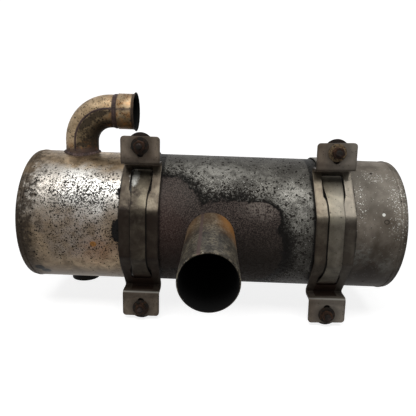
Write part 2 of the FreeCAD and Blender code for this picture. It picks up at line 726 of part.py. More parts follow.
def make_saddle(side):
    """One folded strip: a flat middle, two sloping wings on the drum, a shelf forward from each
    wing and an ear turned out from each shelf, with a window for the band in each wing. The lower
    window is the shorter one."""
    name = "saddle_" + side
    body = new_body(name)
    profile = new_sketch(body, name + "_profile", "YZ_Plane")
    draw_outline(profile, saddle_side("1") + saddle_side("-1")[::-1])
    pad(body, name + "_strip", profile, "sizes.saddle_width")

    half = "sizes.window_width / 2"
    windows = new_sketch(body, name + "_windows", "XZ_Plane")
    for sign, end in (("1", "derived.window_upper_end"), ("-1", "derived.window_lower_end")):
        low, high = f"{sign} * derived.window_start", f"{sign} * {end}"
        draw_outline(windows, rectangle("-" + half, half, low, high))
    pocket(body, name + "_window_cut", windows, "2 * sizes.shell_diameter")
    slots = new_sketch(body, name + "_bolt_slots", "XZ_Plane")
    for sign in ("1", "-1"):
        draw_slot(slots, "sizes.bolt_slot_width / 2", "derived.slot_low", "derived.slot_high", sign)
    pocket(body, name + "_slot_cut", slots, "2 * sizes.shell_diameter")

    along_drum, forward = Vector(1, 0, 0), Vector(0, 1, 0)

    def fold(out, up):
        def wanted(edge):
            middle = edge.BoundBox.Center
            return straight_along(edge, along_drum) and near(-middle.y, out) and near(abs(middle.z), up)
        return wanted

    tight = "derived.fold_inner_radius"
    round_edges(body, name + "_ear_fold", "sizes.fold_outer_radius",
                fold("derived.ear_depth", "derived.flange_height"))
    round_edges(body, name + "_ear_fold_rear", tight, fold("derived.ear_back", "derived.flange_outer"))
    round_edges(body, name + "_root_fold", tight, fold("derived.flange_root", "derived.flange_height"))
    round_edges(body, name + "_root_fold_rear", "sizes.fold_outer_radius",
                fold("derived.flange_root_back", "derived.flange_outer"))

    def ear_corner(edge):
        middle = edge.BoundBox.Center
        at_edge = near(abs(middle.x), "sizes.saddle_width / 2") and near(abs(middle.z), "derived.ear_reach")
        return straight_along(edge, forward) and at_edge

    def window_corner(edge):
        middle = edge.BoundBox.Center
        corners = ("derived.window_start", "derived.window_upper_end", "-derived.window_lower_end",
                   "-derived.window_start")
        at_edge = near(abs(middle.x), half) and any(near(middle.z, corner) for corner in corners)
        return straight_along(edge, forward) and at_edge

    round_edges(body, name + "_ear_corners", "sizes.ear_corner_radius", ear_corner)
    round_edges(body, name + "_window_corners", "sizes.window_corner_radius", window_corner)
    seat_clamp(body, side)
    return body


def band_corners(lift):
    """The band's path in front: from the drum, on through the windows and over the saddle."""
    on_shell = f"(derived.band_on_shell + {lift})"
    on_saddle = f"(derived.band_on_saddle + {lift})"
    wing, dive = "sizes.saddle_fold_turn", "sizes.band_dive_turn"
    half = [
        (f"{on_shell} * cos({dive})", f"{on_shell} * sin({dive})"),
        (f"({on_saddle} * sin({dive}) - {on_shell} * sin({wing})) / sin(derived.dive_turn)",
         f"({on_shell} * cos({wing}) - {on_saddle} * cos({dive})) / sin(derived.dive_turn)"),
        (on_saddle, f"{on_saddle} * tan(derived.fold_half)"),
    ]
    upper = [(f"-({out})", up) for out, up in half]
    lower = [(f"-({out})", f"-({up})") for out, up in half]
    return [("0", "0")] + upper + lower[::-1]


def make_band(side):
    """A strap all round the drum, which leaves the drum in front to pass through the saddle's
    windows and over its face, and is narrower there."""
    name = "band_" + side
    body = new_body(name)
    width = "sizes.band_width"
    round_out = new_sketch(body, name + "_round_outside", "YZ_Plane")
    draw_circle(round_out, "derived.band_on_shell + sizes.band_wall")
    pad(body, name + "_round", round_out, width)
    front_out = new_sketch(body, name + "_front_outside", "YZ_Plane")
    draw_outline(front_out, band_corners("sizes.band_wall"))
    pad(body, name + "_front", front_out, width)
    round_in = new_sketch(body, name + "_round_inside", "YZ_Plane")
    draw_circle(round_in, "derived.band_on_shell")
    pocket(body, name + "_round_cut", round_in, f"2 * {width}")
    front_in = new_sketch(body, name + "_front_inside", "YZ_Plane")
    draw_outline(front_in, band_corners("0"))
    pocket(body, name + "_front_cut", front_in, f"2 * {width}")

    waist = new_sketch(body, name + "_waist", "XZ_Plane", "derived.band_on_saddle")
    inner, outer = "sizes.band_waist_width / 2", "sizes.band_width"
    low, high = "sizes.band_waist_height / 2", "sizes.band_waist_height / 2 + derived.taper_run"
    for sign in ("1", "-1"):
        draw_outline(waist, [
            (f"{sign} * {inner}", f"-{low}"),
            (f"{sign} * {outer}", f"-({high})"),
            (f"{sign} * {outer}", high),
            (f"{sign} * {inner}", low),
        ])
    pocket(body, name + "_waist_cut", waist, "derived.band_on_saddle")
    seat_clamp(body, side)
    return body


# Fasteners: at each ear a bolt from behind, a backing washer, a front washer and a nut


def ear_spots():
    """The bolt position of every ear, as formulas for X and Z."""
    for side in ("left", "right"):
        station, skew = CLAMPS[side]["station"], CLAMPS[side]["skew"]
        for sign in ("1", "-1"):
            along = f"{station} - {sign} * derived.bolt_height * sin({skew})"
            yield side, {"1": "top", "-1": "bottom"}[sign], along, f"{sign} * derived.bolt_height * cos({skew})"


def make_bolts():
    bolts = []
    for side, end, along, up in ear_spots():
        name = f"bolt_{side}_{end}"
        seat = (along, "-derived.bolt_seat", up)
        shank = rod(name + "_shank", "derived.bolt_radius", "derived.bolt_length", "-Y", seat)
        head = hexagon(name + "_head", "sizes.nut_hexagon", "sizes.bolt_head_height", "+Y", seat)
        bolt = doc.addObject("Part::Fuse", name)
        bolt.Base = shank
        bolt.Tool = head
        bolts.append(bolt)
    return group("clamp_bolts", bolts)


def make_nuts():
    nuts = []
    for side, end, along, up in ear_spots():
        name = f"nut_{side}_{end}"
        seat = (along, "-(derived.ear_depth + sizes.washer_wall)", up)
        outside = hexagon(name + "_outside", "sizes.nut_hexagon", "sizes.nut_height", "-Y", seat)
        thread = rod(name + "_thread", "derived.bolt_radius + sizes.thread_gap", "sizes.nut_height",
                     "-Y", seat)
        nuts.append(cut(name, outside, thread))
    return group("clamp_nuts", nuts)


def make_washers(group_name, kind, diameter, wall, seat_depth):
    washers = []
    for side, end, along, up in ear_spots():
        name = f"{kind}_{side}_{end}"
        seat = (along, f"-({seat_depth})", up)
        outside = rod(name + "_outside", f"{diameter} / 2", wall, "-Y", seat)
        hole = rod(name + "_hole", "derived.bolt_radius + sizes.hole_gap", wall, "-Y", seat)
        washers.append(cut(name, outside, hole))
    return group(group_name, washers)


def report_and_save(parts):
    """Check every object, then write each sub-part."""
    doc.recompute()
    failed = [item.Name for item in doc.Objects if {"Invalid", "Error"} & set(item.State)]
    if failed:
        raise ValueError("failed: " + ", ".join(failed))
    os.makedirs("parts", exist_ok=True)
    for item in parts:
        shape = item.Shape
        if shape.isNull() or not shape.isValid() or not shape.Solids:
            raise ValueError(item.Label + " is not a sound solid")
        shape.exportStep(f"parts/{item.Label}.step")
        print(item.Label, len(shape.Solids), round(shape.Volume, 1))


CLAMPS = {
    "left": {"station": "-derived.clamp_left_offset", "skew": "0"},
    "right": {"station": "derived.clamp_right_offset", "skew": "sizes.clamp_right_skew"},
}
parts = [make_shell(), make_shell_seam()]
for side in ("left", "right"):
    parts += [make_end_cap(side), make_end_weld(side), make_baffle(side)]
parts += [
    make_inner_tube("transfer_tube", "sizes.tube_spread"),
    make_inner_tube("return_tube", "-sizes.tube_spread"),
    make_outlet_pipe(),
    make_branch_weld("outlet_weld", "derived.outlet_radius", "sizes.outlet_weld_leg", "-Y", "0"),
    make_branch_weld("inlet_base_weld", "derived.inlet_radius", "sizes.inlet_weld_leg", "+Z",
                     "-derived.inlet_offset"),
    make_elbow_half("outer"),
    make_elbow_half("inner"),
    make_inlet_collar(),
    make_collar_weld(),
    make_drain_boss(),
    make_drain_plug(),
]
elbow_core = make_elbow_core()
for side in ("front", "back"):
    parts.append(make_elbow_seam(side, elbow_core))
for side in ("left", "right"):
    parts += [make_saddle(side), make_band(side)]
parts += [
    make_bolts(),
    make_nuts(),
    make_washers("clamp_washers", "washer", "sizes.washer_diameter", "sizes.washer_wall",
                 "derived.ear_depth"),
    make_washers("backing_washers", "backing", "sizes.backing_diameter", "sizes.backing_wall",
                 "derived.bolt_seat"),
]
report_and_save(parts)
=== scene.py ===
"""Looks of the exhaust muffler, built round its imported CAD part.

Frame: +X along the drum, -Y out of the outlet stub, +Z up, in metres. Every new piece is a surface
given by a function of two parameters on a grid, or a profile carried along a path.
"""
import math

import bmesh
import bpy
import numpy as np
from mathutils import Euler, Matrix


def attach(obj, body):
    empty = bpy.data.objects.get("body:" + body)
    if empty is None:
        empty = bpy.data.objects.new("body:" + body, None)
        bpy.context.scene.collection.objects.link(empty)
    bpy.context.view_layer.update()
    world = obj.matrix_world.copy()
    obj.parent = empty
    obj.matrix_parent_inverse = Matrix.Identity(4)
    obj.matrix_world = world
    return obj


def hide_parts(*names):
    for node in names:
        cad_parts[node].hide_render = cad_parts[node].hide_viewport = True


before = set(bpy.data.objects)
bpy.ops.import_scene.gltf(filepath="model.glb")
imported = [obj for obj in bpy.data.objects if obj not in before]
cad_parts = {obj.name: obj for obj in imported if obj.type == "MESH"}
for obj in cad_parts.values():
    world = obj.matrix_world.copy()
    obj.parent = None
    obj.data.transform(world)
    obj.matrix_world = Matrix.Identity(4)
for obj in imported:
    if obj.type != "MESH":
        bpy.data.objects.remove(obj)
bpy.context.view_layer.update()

bl_info = {
    "name": "Exhaust muffler",
    "version": (1, 0, 0),
    "blender": (4, 5, 0),
    "location": "3D View > Sidebar > Muffler",
    "description": "Builds the shaped pieces, finishes and studio of an exhaust muffler",
    "category": "Add Mesh",
}

FULL_TURN = 2 * math.pi
WELD_DISTANCE = 1e-6
ORIGIN = (0.0, 0.0, 0.0)
CHAMFER_SLOPE = 1.7
WELD_OFFSET = 0.0002
RIGHT, FORWARD, UP, DOWN = (1, 0, 0), (0, -1, 0), (0, 0, 1), (0, 0, -1)
UP_TO_FORWARD = np.array([[1.0, 0.0, 0.0], [0.0, 0.0, 1.0], [0.0, -1.0, 0.0]])
SHADER_INPUTS = {"base": "Base Color", "rough": "Roughness", "metal": "Metallic",
                 "gloss": "Specular IOR Level", "normal": "Normal"}


# Properties: sizes in metres and angles in radians, colours as scene linear


def length(name, description, default):
    return bpy.props.FloatProperty(name=name, description=description, default=default,
                                   subtype="DISTANCE", unit="LENGTH", precision=5)


def angle(name, description, degrees):
    return bpy.props.FloatProperty(name=name, description=description,
                                   default=math.radians(degrees), subtype="ANGLE", unit="ROTATION")


def amount(name, description, default):
    return bpy.props.FloatProperty(name=name, description=description, default=default)


def colour(name, description, red, green, blue):
    """A colour property from 8 bit display values."""
    display = np.array([red, green, blue]) / 255
    linear = np.where(display <= 0.04045, display / 12.92, ((display + 0.055) / 1.055) ** 2.4)
    return bpy.props.FloatVectorProperty(name=name, description=description, size=4, min=0, max=1,
                                         subtype="COLOR", default=(*map(float, linear), 1.0))


class DrumSizes(bpy.types.PropertyGroup):
    radius: length("Drum radius", "Outside radius of the drum", 0.090)
    joint: length("Joint offset", "From the middle to each cap's joint", 0.239)
    end: length("End offset", "From the middle to each end", 0.246)
    wall: length("Shell wall", "Thickness of the rolled shell", 0.0015)
    cap_wall: length("Cap wall", "Thickness of the end caps", 0.002)
    corner: length("Cap corner", "Outer radius of the cap's corner", 0.0035)
    dish_radius: length("Dish radius", "Radius at the top of the cap's dish", 0.068)
    dish_slope: length("Dish slope", "How far the dish's side runs inwards", 0.008)
    dish_depth: length("Dish depth", "Depth of the cap's dish", 0.005)
    bead_width: length("End bead half width", "Half width of the cap welds", 0.0018)
    bead_height: length("End bead height", "Height of the cap welds", 0.0006)
    seam_width: length("Seam half width", "Half width of the lengthwise weld", 0.0020)
    seam_height: length("Seam height", "Height of the lengthwise weld", 0.0005)


class OutletSizes(bpy.types.PropertyGroup):
    radius: length("Outlet radius", "Outside radius of the stub", 0.03015)
    wall: length("Outlet wall", "Thickness of the stub", 0.002)
    mouth: length("Mouth distance", "From the drum's axis to the stub's mouth", 0.232)
    past_axis: length("Past the axis", "How far the stub passes the drum's axis", 0.002)
    patch: length("Patch half width", "Half width of the drum patch round the stub", 0.044)
    bead_width: length("Root bead half width", "Half width of the root weld", 0.0036)
    bead_height: length("Root bead height", "Height of the root weld", 0.0022)


class InletSizes(bpy.types.PropertyGroup):
    station: length("Inlet station", "The leg's place along the drum", -0.1843)
    radius: length("Elbow radius", "Outside radius of the elbow's tube", 0.02225)
    wall: length("Elbow wall", "Thickness of the elbow's tube", 0.0015)
    bend: length("Bend radius", "Radius of the elbow's middle line", 0.042)
    foot: length("Leg foot", "Height at which the leg starts inside the drum", 0.0805)
    axis_height: length("Axis height", "Height of the level part's axis", 0.147)
    end: length("Elbow end", "Where the elbow ends in the collar", -0.1158)
    mouth: length("Collar mouth", "Place of the collar's mouth", -0.1078)
    collar_start: length("Collar start", "Place of the collar's edge", -0.1318)
    collar_inner: length("Collar bore", "Inner radius of the collar", 0.02235)
    collar_wall: length("Collar wall", "Thickness of the collar", 0.0017)
    flare_length: length("Flare length", "Length of the flared lip", 0.005)
    flare_height: length("Flare height", "How far the lip flares", 0.0023)
    seam_turn: angle("Seam turn", "Turn of the two joints to the bend's outside", 9)
    seam_bead: length("Seam bead", "Half width of the joint beads", 0.0013)
    collar_bead: length("Collar bead", "Half width of the bead at the collar", 0.0029)
    collar_bead_height: length("Collar bead height", "Height of the bead at the collar", 0.0009)
    base_bead_width: length("Base bead half width", "Half width of the weld at the drum", 0.0034)
    base_bead_height: length("Base bead height", "Height of the weld at the drum", 0.0024)


class DrainSizes(bpy.types.PropertyGroup):
    station: length("Drain station", "The boss's place along the drum", -0.186)
    radius: length("Boss radius", "Outside radius of the boss", 0.020)
    top: length("Boss top", "Height of the boss's inner face", -0.0845)
    bottom: length("Boss bottom", "Height of the boss's outer face", -0.098)
    bore: length("Boss bore", "Radius of the threaded hole", 0.0111)
    plug_radius: length("Plug radius", "Radius of the plug", 0.011)
    plug_bottom: length("Plug bottom", "Height of the plug's outer face", -0.095)
    socket: length("Socket width", "Width of the plug's socket over its flats", 0.010)
    socket_depth: length("Socket depth", "Depth of the plug's socket", 0.007)
    edge: length("Edge", "Size of the broken edges", 0.0008)


class ClampSizes(bpy.types.PropertyGroup):
    left: length("Left station", "The left clamp's place along the drum", -0.090)
    right: length("Right station", "The right clamp's place along the drum", 0.155)
    right_skew: angle("Right skew", "Tilt of the right clamp", 2.2)
    width: length("Saddle width", "Width of the folded strip", 0.0485)
    wall: length("Saddle wall", "Thickness of the folded strip", 0.003)
    front: length("Saddle front", "From the drum's axis to the strip's front face", 0.0937)
    fold: angle("Fold turn", "Turn of the wings at the middle's folds", 36)
    flange_height: length("Flange height", "Height of the shelves", 0.0846)
    ear_depth: length("Ear depth", "From the drum's axis to the ears' front", 0.0765)
    ear_reach: length("Ear reach", "Height of the ears' edges", 0.1197)
    wing_fold: length("Wing fold radius", "Radius of the folds of the wings", 0.006)
    tight_fold: length("Tight fold radius", "Inner radius of the shelf folds", 0.002)
    wide_fold: length("Wide fold radius", "Outer radius of the shelf folds", 0.005)
    ear_corner: length("Ear corner", "Radius of the ears' corners", 0.0045)
    window_width: length("Window width", "Width of the windows", 0.028)
    window_start: length("Window start", "Height where the windows start", 0.051)
    window_upper_end: length("Upper window end", "Height where the upper window ends", 0.078)
    window_lower_end: length("Lower window end", "Depth where the lower window ends", 0.071)
    window_corner: length("Window corner", "Radius of the windows' corners", 0.004)
    slot_width: length("Slot width", "Width of the bolt slots", 0.009)
    slot_low: length("Slot low", "Height of the slot's lower centre", 0.0985)
    slot_high: length("Slot high", "Height of the slot's upper centre", 0.109)
    cell: length("Cell", "Size of the strip's grid cells", 0.0012)


class BandSizes(bpy.types.PropertyGroup):
    width: length("Band width", "Width of the strap", 0.025)
    waist: length("Waist width", "Width of the strap over the saddle", 0.019)
    waist_height: length("Waist height", "Height over which the waist runs", 0.084)
    taper: length("Taper", "Run of the strap's taper", 0.028)
    wall: length("Band wall", "Thickness of the strap", 0.0012)
    on_drum: length("On the drum", "Inner radius of the strap on the drum", 0.0907)
    on_saddle: length("On the saddle", "Distance of the strap's inner face on the saddle", 0.0944)
    dive: angle("Dive turn", "Where the strap leaves the drum in front", 50)
    soften: length("Softening", "Rounding of the strap's folds", 0.0009)


class FastenerSizes(bpy.types.PropertyGroup):
    height: length("Bolt height", "Height of the bolts in the ears", 0.108)
    thread_radius: length("Thread radius", "Outside radius of the bolts", 0.004)
    thread_pitch: length("Thread pitch", "Pitch of the bolts' threads", 0.00125)
    thread_depth: length("Thread depth", "Depth of the bolts' threads", 0.0005)
    seat: length("Bolt seat", "Distance of the bolt heads' faces", 0.071)
    tip: length("Bolt tip", "Distance of the bolts' tips", 0.0878)
    head_height: length("Head height", "Height of the bolt heads", 0.0053)
    hexagon: length("Hexagon width", "Width of nuts and heads over their flats", 0.013)
    nut_height: length("Nut height", "Height of the nuts", 0.0065)
    washer_radius: length("Washer radius", "Radius of the front washers", 0.011)
    washer_wall: length("Washer wall", "Thickness of the front washers", 0.0016)
    backing_radius: length("Backing radius", "Radius of the backing washers", 0.0165)
    backing_wall: length("Backing wall", "Thickness of the backing washers", 0.0025)
    hole: length("Washer hole", "Radius of the washers' holes", 0.0043)


class FinishColours(bpy.types.PropertyGroup):
    # Painted highlight: the polished sheet as it looks where the key light's highlight falls
    bright: colour("Bright steel", "Bare polished sheet", 200, 198, 192)
    # Painted shade: the same polished sheet below the highlight, duller and darker
    shaded_steel: colour("Dulled steel", "Polished sheet under a film of dirt", 130, 121, 113)
    straw: colour("Straw tint", "Heat tint on the bright sheet", 182, 160, 130)
    straw_dark: colour("Dark straw tint", "Deeper heat tint", 104, 88, 68)
    grey_sheet: colour("Grey sheet", "Weathered sheet between the clamps", 104, 102, 96)
    grey_dark: colour("Dark grey sheet", "Darker clouds of the grey sheet", 58, 56, 52)
    grey_pale: colour("Pale grey sheet", "Palest parts of the grey sheet", 142, 140, 133)
    brown_sheet: colour("Brown sheet", "Weathered sheet at the right end", 124, 116, 106)
    brown_dark: colour("Dark brown sheet", "Darker clouds of the brown sheet", 72, 64, 55)
    soot: colour("Soot", "Matte burnt patch", 88, 78, 73)
    soot_dark: colour("Dark soot", "Hollows of the burnt patch", 26, 22, 21)
    soot_red: colour("Red soot", "Reddish part of the burnt patch", 88, 58, 52)
    # Also painted shade: the contact shadow beside the clamps and the soot's underside
    pit_and_shade: colour("Pit", "Dark pits and specks", 26, 23, 20)
    speck: colour("Light speck", "Light specks and smears", 205, 205, 198)
    rust: colour("Rust", "Orange rust", 150, 96, 44)
    rust_brown: colour("Brown rust", "Lighter rust of the fasteners", 66, 45, 31)
    dark_rust: colour("Dark rust", "Darker rust of the fasteners", 34, 24, 19)
    weld: colour("Weld", "Oxidised weld metal", 76, 62, 58)
    weld_dark: colour("Dark weld", "Darker weld metal", 42, 35, 34)
    elbow: colour("Elbow tint", "Golden tan of the elbow", 164, 144, 116)
    elbow_dark: colour("Dark elbow tint", "Darker tan of the elbow", 120, 102, 78)
    olive: colour("Olive", "Inner side of the elbow", 70, 59, 42)
    outlet: colour("Outlet grey", "Olive grey of the outlet stub", 118, 109, 92)
    outlet_dark: colour("Dark outlet grey", "Darker streaks of the stub", 60, 56, 49)
    strap: colour("Strap", "Olive grey strap steel", 122, 115, 99)
    strap_dark: colour("Dark strap", "Darker streaks of the straps", 80, 72, 60)
    ear: colour("Ear", "Grey brown saddle steel", 116, 105, 93)
    ear_dark: colour("Dark ear", "Darker clouds of the saddles", 74, 64, 55)
    # Also the painted shade on what lies inside the lower windows
    nook: colour("Nook", "Brown dirt on the lower shelves", 34, 24, 18)
    golden: colour("Golden rust", "Rust of the lightest washer and the stub", 138, 94, 46)
    # Soil and shade: dirt, and also the painted shade in folds, along edges and on undersides
    soil_and_shade: colour("Soil", "Dirt in corners and folds", 32, 27, 23)
    # Also the painted shadow in the gaps beside the straps and along the clamps on the drum
    black: colour("Black", "Burnt black inside of the pipes", 5, 5, 5)
    floor: colour("Floor", "Pale studio floor", 168, 168, 168)


class StudioSizes(bpy.types.PropertyGroup):
    floor_height: length("Floor height", "Height of the floor", -0.1255)
    floor_reach: length("Floor reach", "Half width of the floor", 3.0)
    lens: amount("Lens", "Focal length in millimetres on a 36 millimetre sensor", 35.87)
    place: bpy.props.FloatVectorProperty(name="Camera place", description="Place of the camera",
                                         default=(0.00078, -0.58491, 0.15698), precision=5,
                                         subtype="XYZ", unit="LENGTH")
    turn: bpy.props.FloatVectorProperty(name="Camera turn", description="Turn of the camera",
                                        default=tuple(map(math.radians, (76.2987, -1.8927, 1.0343))),
                                        subtype="EULER", unit="ROTATION")
    floor_glow: amount("Floor glow", "How far the floor near the part is lit for the camera", 0.84)
    key_power: amount("Key power", "Power of the overhead light in watts", 15.0)
    fill_power: amount("Fill power", "Power of the front light in watts", 0.5)
    world_level: amount("World level", "Strength of the surroundings on the object", 0.04)


GROUPS = {
    "muffler_drum": DrumSizes,
    "muffler_outlet": OutletSizes,
    "muffler_inlet": InletSizes,
    "muffler_drain": DrainSizes,
    "muffler_clamp": ClampSizes,
    "muffler_band": BandSizes,
    "muffler_fastener": FastenerSizes,
    "muffler_colours": FinishColours,
    "muffler_studio": StudioSizes,
}


# Grids: a surface is an array of rows by columns by three


def angles(steps):
    """Equal turns of a full circle."""
    return np.arange(steps) * FULL_TURN / steps


def together(*parts):
    """Points from their coordinates, which may be arrays that match each other or single numbers."""
    return np.stack(np.broadcast_arrays(*parts), axis=-1)


def unit(vectors):
    return vectors / np.linalg.norm(vectors, axis=-1, keepdims=True)


def grid_faces(rows, columns, wrap_rows, wrap_columns):
    """Four-cornered faces between neighbouring grid points, closed over either end on request."""
    index = np.arange(rows * columns).reshape(rows, columns)
    if wrap_rows:
        index = np.vstack([index, index[:1]])
    if wrap_columns:
        index = np.hstack([index, index[:, :1]])
    corners = [index[:-1, :-1], index[1:, :-1], index[1:, 1:], index[:-1, 1:]]
    return np.stack(corners, axis=-1).reshape(-1, 4)


def piece_from_faces(name, points, faces, marks=None, closed=True, sharp=40):
    """An object from an array of points and an array of four-cornered faces. Doubled points are
    merged, and points that no face uses are dropped. A closed piece's faces are turned outward.
    Marks are named values per point that a material can read."""
    used, faces = np.unique(faces, return_inverse=True)
    points = points[used]
    faces = faces.reshape(-1, 4)
    mesh = bpy.data.meshes.new(name)
    mesh.from_pydata(points.tolist(), [], faces.tolist())
    for mark, values in (marks or {}).items():
        layer = mesh.attributes.new(mark, "FLOAT", "POINT")
        layer.data.foreach_set("value", np.ascontiguousarray(values.ravel()[used], dtype=np.float32))
    work = bmesh.new()
    work.from_mesh(mesh)
    bmesh.ops.remove_doubles(work, verts=work.verts, dist=WELD_DISTANCE)
    bmesh.ops.dissolve_degenerate(work, edges=work.edges, dist=WELD_DISTANCE / 2)
    if closed:
        bmesh.ops.recalc_face_normals(work, faces=work.faces)
    work.to_mesh(mesh)
    work.free()
    mesh.polygons.foreach_set("use_smooth", np.ones(len(mesh.polygons), dtype=bool))
    mesh.set_sharp_from_angle(angle=math.radians(sharp))
    mesh.update()
    item = bpy.data.objects.new(name, mesh)
    bpy.context.scene.collection.objects.link(item)
    return item


def piece(name, grids, wrap_rows=True, wrap_columns=True, marks=None, closed=True, sharp=40):
    """An object from several grids, closed over their ends on request."""
    points, faces, start = [], [], 0
    for grid in grids:
        rows, columns = grid.shape[:2]
        faces.append(grid_faces(rows, columns, wrap_rows, wrap_columns) + start)
        points.append(grid.reshape(-1, 3))
        start += rows * columns
    return piece_from_faces(name, np.concatenate(points), np.concatenate(faces), marks, closed, sharp)


def directions_round(axis, side, steps):
    """Directions round an axis: cos t * side + sin t * (axis x side)."""
    t = angles(steps)[:, None]
    return np.cos(t) * np.asarray(side, float) + np.sin(t) * np.cross(axis, side)


def turned(along, radius, base, axis, side, steps):
    """Rings round an axis: base + along * axis + radius * direction. The radius is one number for
    each ring, or one for each of its steps."""
    if radius.ndim == 1:
        radius = radius[:, None]
    spread = radius[:, :, None] * directions_round(axis, side, steps)[None]
    return np.asarray(base, float) + along[:, None, None] * np.asarray(axis, float) + spread


def rounded_path(corners, radii, step):
    """A path of straight runs with a circular arc of the given radius in each corner, sampled at
    about equal steps. Returns its points and the length run at each."""
    corners = np.asarray(corners, float)
    runs = [corners[:1]]
    for before, here, after, radius in zip(corners[:-2], corners[1:-1], corners[2:], radii):
        back, on = unit(before - here), unit(after - here)
        half = math.acos(float(np.clip(back @ on, -1, 1))) / 2
        reach = radius / math.tan(half)
        centre = here + unit(back + on) * radius / math.sin(half)
        start, end = here + back * reach - centre, here + on * reach - centre
        sweep = math.pi - 2 * half
        part = np.linspace(0, 1, 13)[:, None]
        arc = (np.sin((1 - part) * sweep) * start + np.sin(part * sweep) * end) / math.sin(sweep)
        runs.append(centre + arc)
    runs.append(corners[-1:])
    line = np.concatenate(runs)
    run = np.concatenate([[0], np.cumsum(np.linalg.norm(np.diff(line, axis=0), axis=1))])
    even = np.linspace(0, run[-1], max(2, int(round(run[-1] / step)) + 1))
    return together(*(np.interp(even, run, way) for way in line.T)), even


def waves(run, total, seed, turns):
    """A smooth closed wander along a run: a sum of sines whose phases come from a fixed seed."""
    random = np.random.default_rng(seed)
    phases = random.uniform(0, FULL_TURN, len(turns))
    sizes = random.uniform(0.6, 1.0, len(turns))
    parts = [size * np.sin(FULL_TURN * turn * run / total + phase)
             for turn, phase, size in zip(turns, phases, sizes)]
    return sum(parts) / len(turns)


def bead(line, half_width, height, pitch, seed, closed=True, section=18):
    """A weld bead along a line of points, outward and sideways directions: an oval section carried
    along it, whose height and place wander and swell once in each pitch, with every swell bowed back
    like a fish scale."""
    centre, outward, across = line
    gaps = np.linalg.norm(np.diff(centre, axis=0, append=centre[:1]), axis=1)
    run = np.concatenate([[0], np.cumsum(gaps)[:-1]])
    total = gaps.sum() if closed else run[-1]
    t = angles(section)
    swells = max(1, round(total / pitch))
    phase = FULL_TURN * swells * run[:, None] / total + 1.6 * np.sin(t)[None] ** 2
    ripple = 1 + 0.16 * np.cos(phase) * np.clip(np.sin(t), 0, 1)[None]
    wander = 1 + 0.16 * waves(run, total, seed, (3, 7, 11, 17))[:, None]
    shift = 0.18 * waves(run, total, seed + 1, (2, 5, 9))[:, None]
    side = half_width * (np.cos(t)[None] * wander + shift)
    rise = height * np.sin(t)[None] * ripple * wander
    grid = centre[:, None] + side[:, :, None] * across[:, None] + rise[:, :, None] * outward[:, None]
    if not closed:
        grid = np.concatenate([centre[:1, None].repeat(section, 1), grid,
                               centre[-1:, None].repeat(section, 1)])
    return grid


def ring_line(base, radius, axis, side, steps):
    """A circle's points, its outward directions and its axis repeated."""
    out = directions_round(axis, side, steps)
    return np.asarray(base, float) + radius * out, out, np.broadcast_to(axis, out.shape)


def root_line(station, radius, drum_radius, steps):
    """Where an upright pipe meets the drum: the points, the direction half way between both skins,
    and the direction across the line."""
    t = angles(steps)
    side = radius * np.sin(t)
    rise = np.sqrt(drum_radius ** 2 - side ** 2)
    centre = together(station + radius * np.cos(t), side, rise)
    out = unit(together(0, side, rise) / drum_radius + together(np.cos(t), np.sin(t), 0))
    return centre, out, np.cross(unit(np.gradient(centre, axis=0)), out)


def finish_piece(item, material, slot_name, *nodes):
    """Give a piece its material and body, and hide the CAD nodes it stands for. The slot name is not
    used.
    """
    item.data.materials.append(bpy.data.materials[material])
    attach(item, "root")
    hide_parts(*nodes)


def weld(name, node_name, line, half_width, height, pitch, seed, closed=True, material="weld_bead"):
    """A weld bead as a finished piece."""
    item = piece(name, [bead(line, half_width, height, pitch, seed, closed)], wrap_rows=closed)
    finish_piece(item, material, "weld_metal", node_name)


def smooth(s):
    """A smooth rise from 0 to 1 with level ends."""
    return s * s * (3 - 2 * s)


def solidify(item, wall):
    """Give a sheet its thickness behind its front face."""
    solid = item.modifiers.new("wall", "SOLIDIFY")
    solid.thickness = wall
    solid.offset = -1


def soften_edges(item, width, segments):
    soft = item.modifiers.new("edge", "BEVEL")
    soft.width = width
    soft.segments = segments
    soft.limit_method = "ANGLE"
    soft.angle_limit = math.radians(50)
    soft.harden_normals = False


# Node trees


class Value:
    """What a node puts out. Reckoning with it adds maths nodes to its tree."""

    def __init__(self, socket):
        self.socket = socket
        self.tree = socket.id_data

    def __add__(self, other):
        return maths("ADD", self, other)

    def __sub__(self, other):
        return maths("SUBTRACT", self, other)

    def __rsub__(self, other):
        return maths("SUBTRACT", other, self)

    def __mul__(self, other):
        return maths("MULTIPLY", self, other)

    def __truediv__(self, other):
        return maths("DIVIDE", self, other)

    def __rtruediv__(self, other):
        return maths("DIVIDE", other, self)

    def __abs__(self):
        return maths("ABSOLUTE", self)


class Outputs:
    """A node's outputs as values, by name or number."""

    def __init__(self, item):
        self.sockets = item.outputs

    def __getitem__(self, key):
        return Value(self.sockets[key])


def tree_of(values):
    """The tree of the first of some values that comes from a node."""
    return next(value.tree for value in values if isinstance(value, Value))


def give(socket, value):
    """Link a value to an input, or set the input to a plain number or colour."""
    if isinstance(value, Value):
        value.tree.links.new(value.socket, socket)
    else:
        socket.default_value = value


def node(kind, inputs, tree=None, **settings):
    """A node with its settings and inputs, in the tree of its inputs unless one is given."""
    item = (tree or tree_of(inputs.values())).nodes.new("ShaderNode" + kind)
    for name, value in settings.items():
        setattr(item, name, value)
    for name, value in inputs.items():
        give(item.inputs[name], value)
    return Outputs(item)


def maths(operation, first, second=0.0, clamp=False):
    return node("Math", {0: first, 1: second}, operation=operation, use_clamp=clamp)[0]


def highest(first, *others):
    """The highest of several numbers."""
    for other in others:
        first = maths("MAXIMUM", first, other)
    return first


def blend(factor, first, second):
    """Two colours mixed by a factor."""
    return node("Mix", {0: factor, 6: first, 7: second}, data_type="RGBA")[2]


def mix(factor, first, second):
    """Two numbers mixed by a factor."""
    return node("Mix", {0: factor, 2: first, 3: second}, data_type="FLOAT")[0]


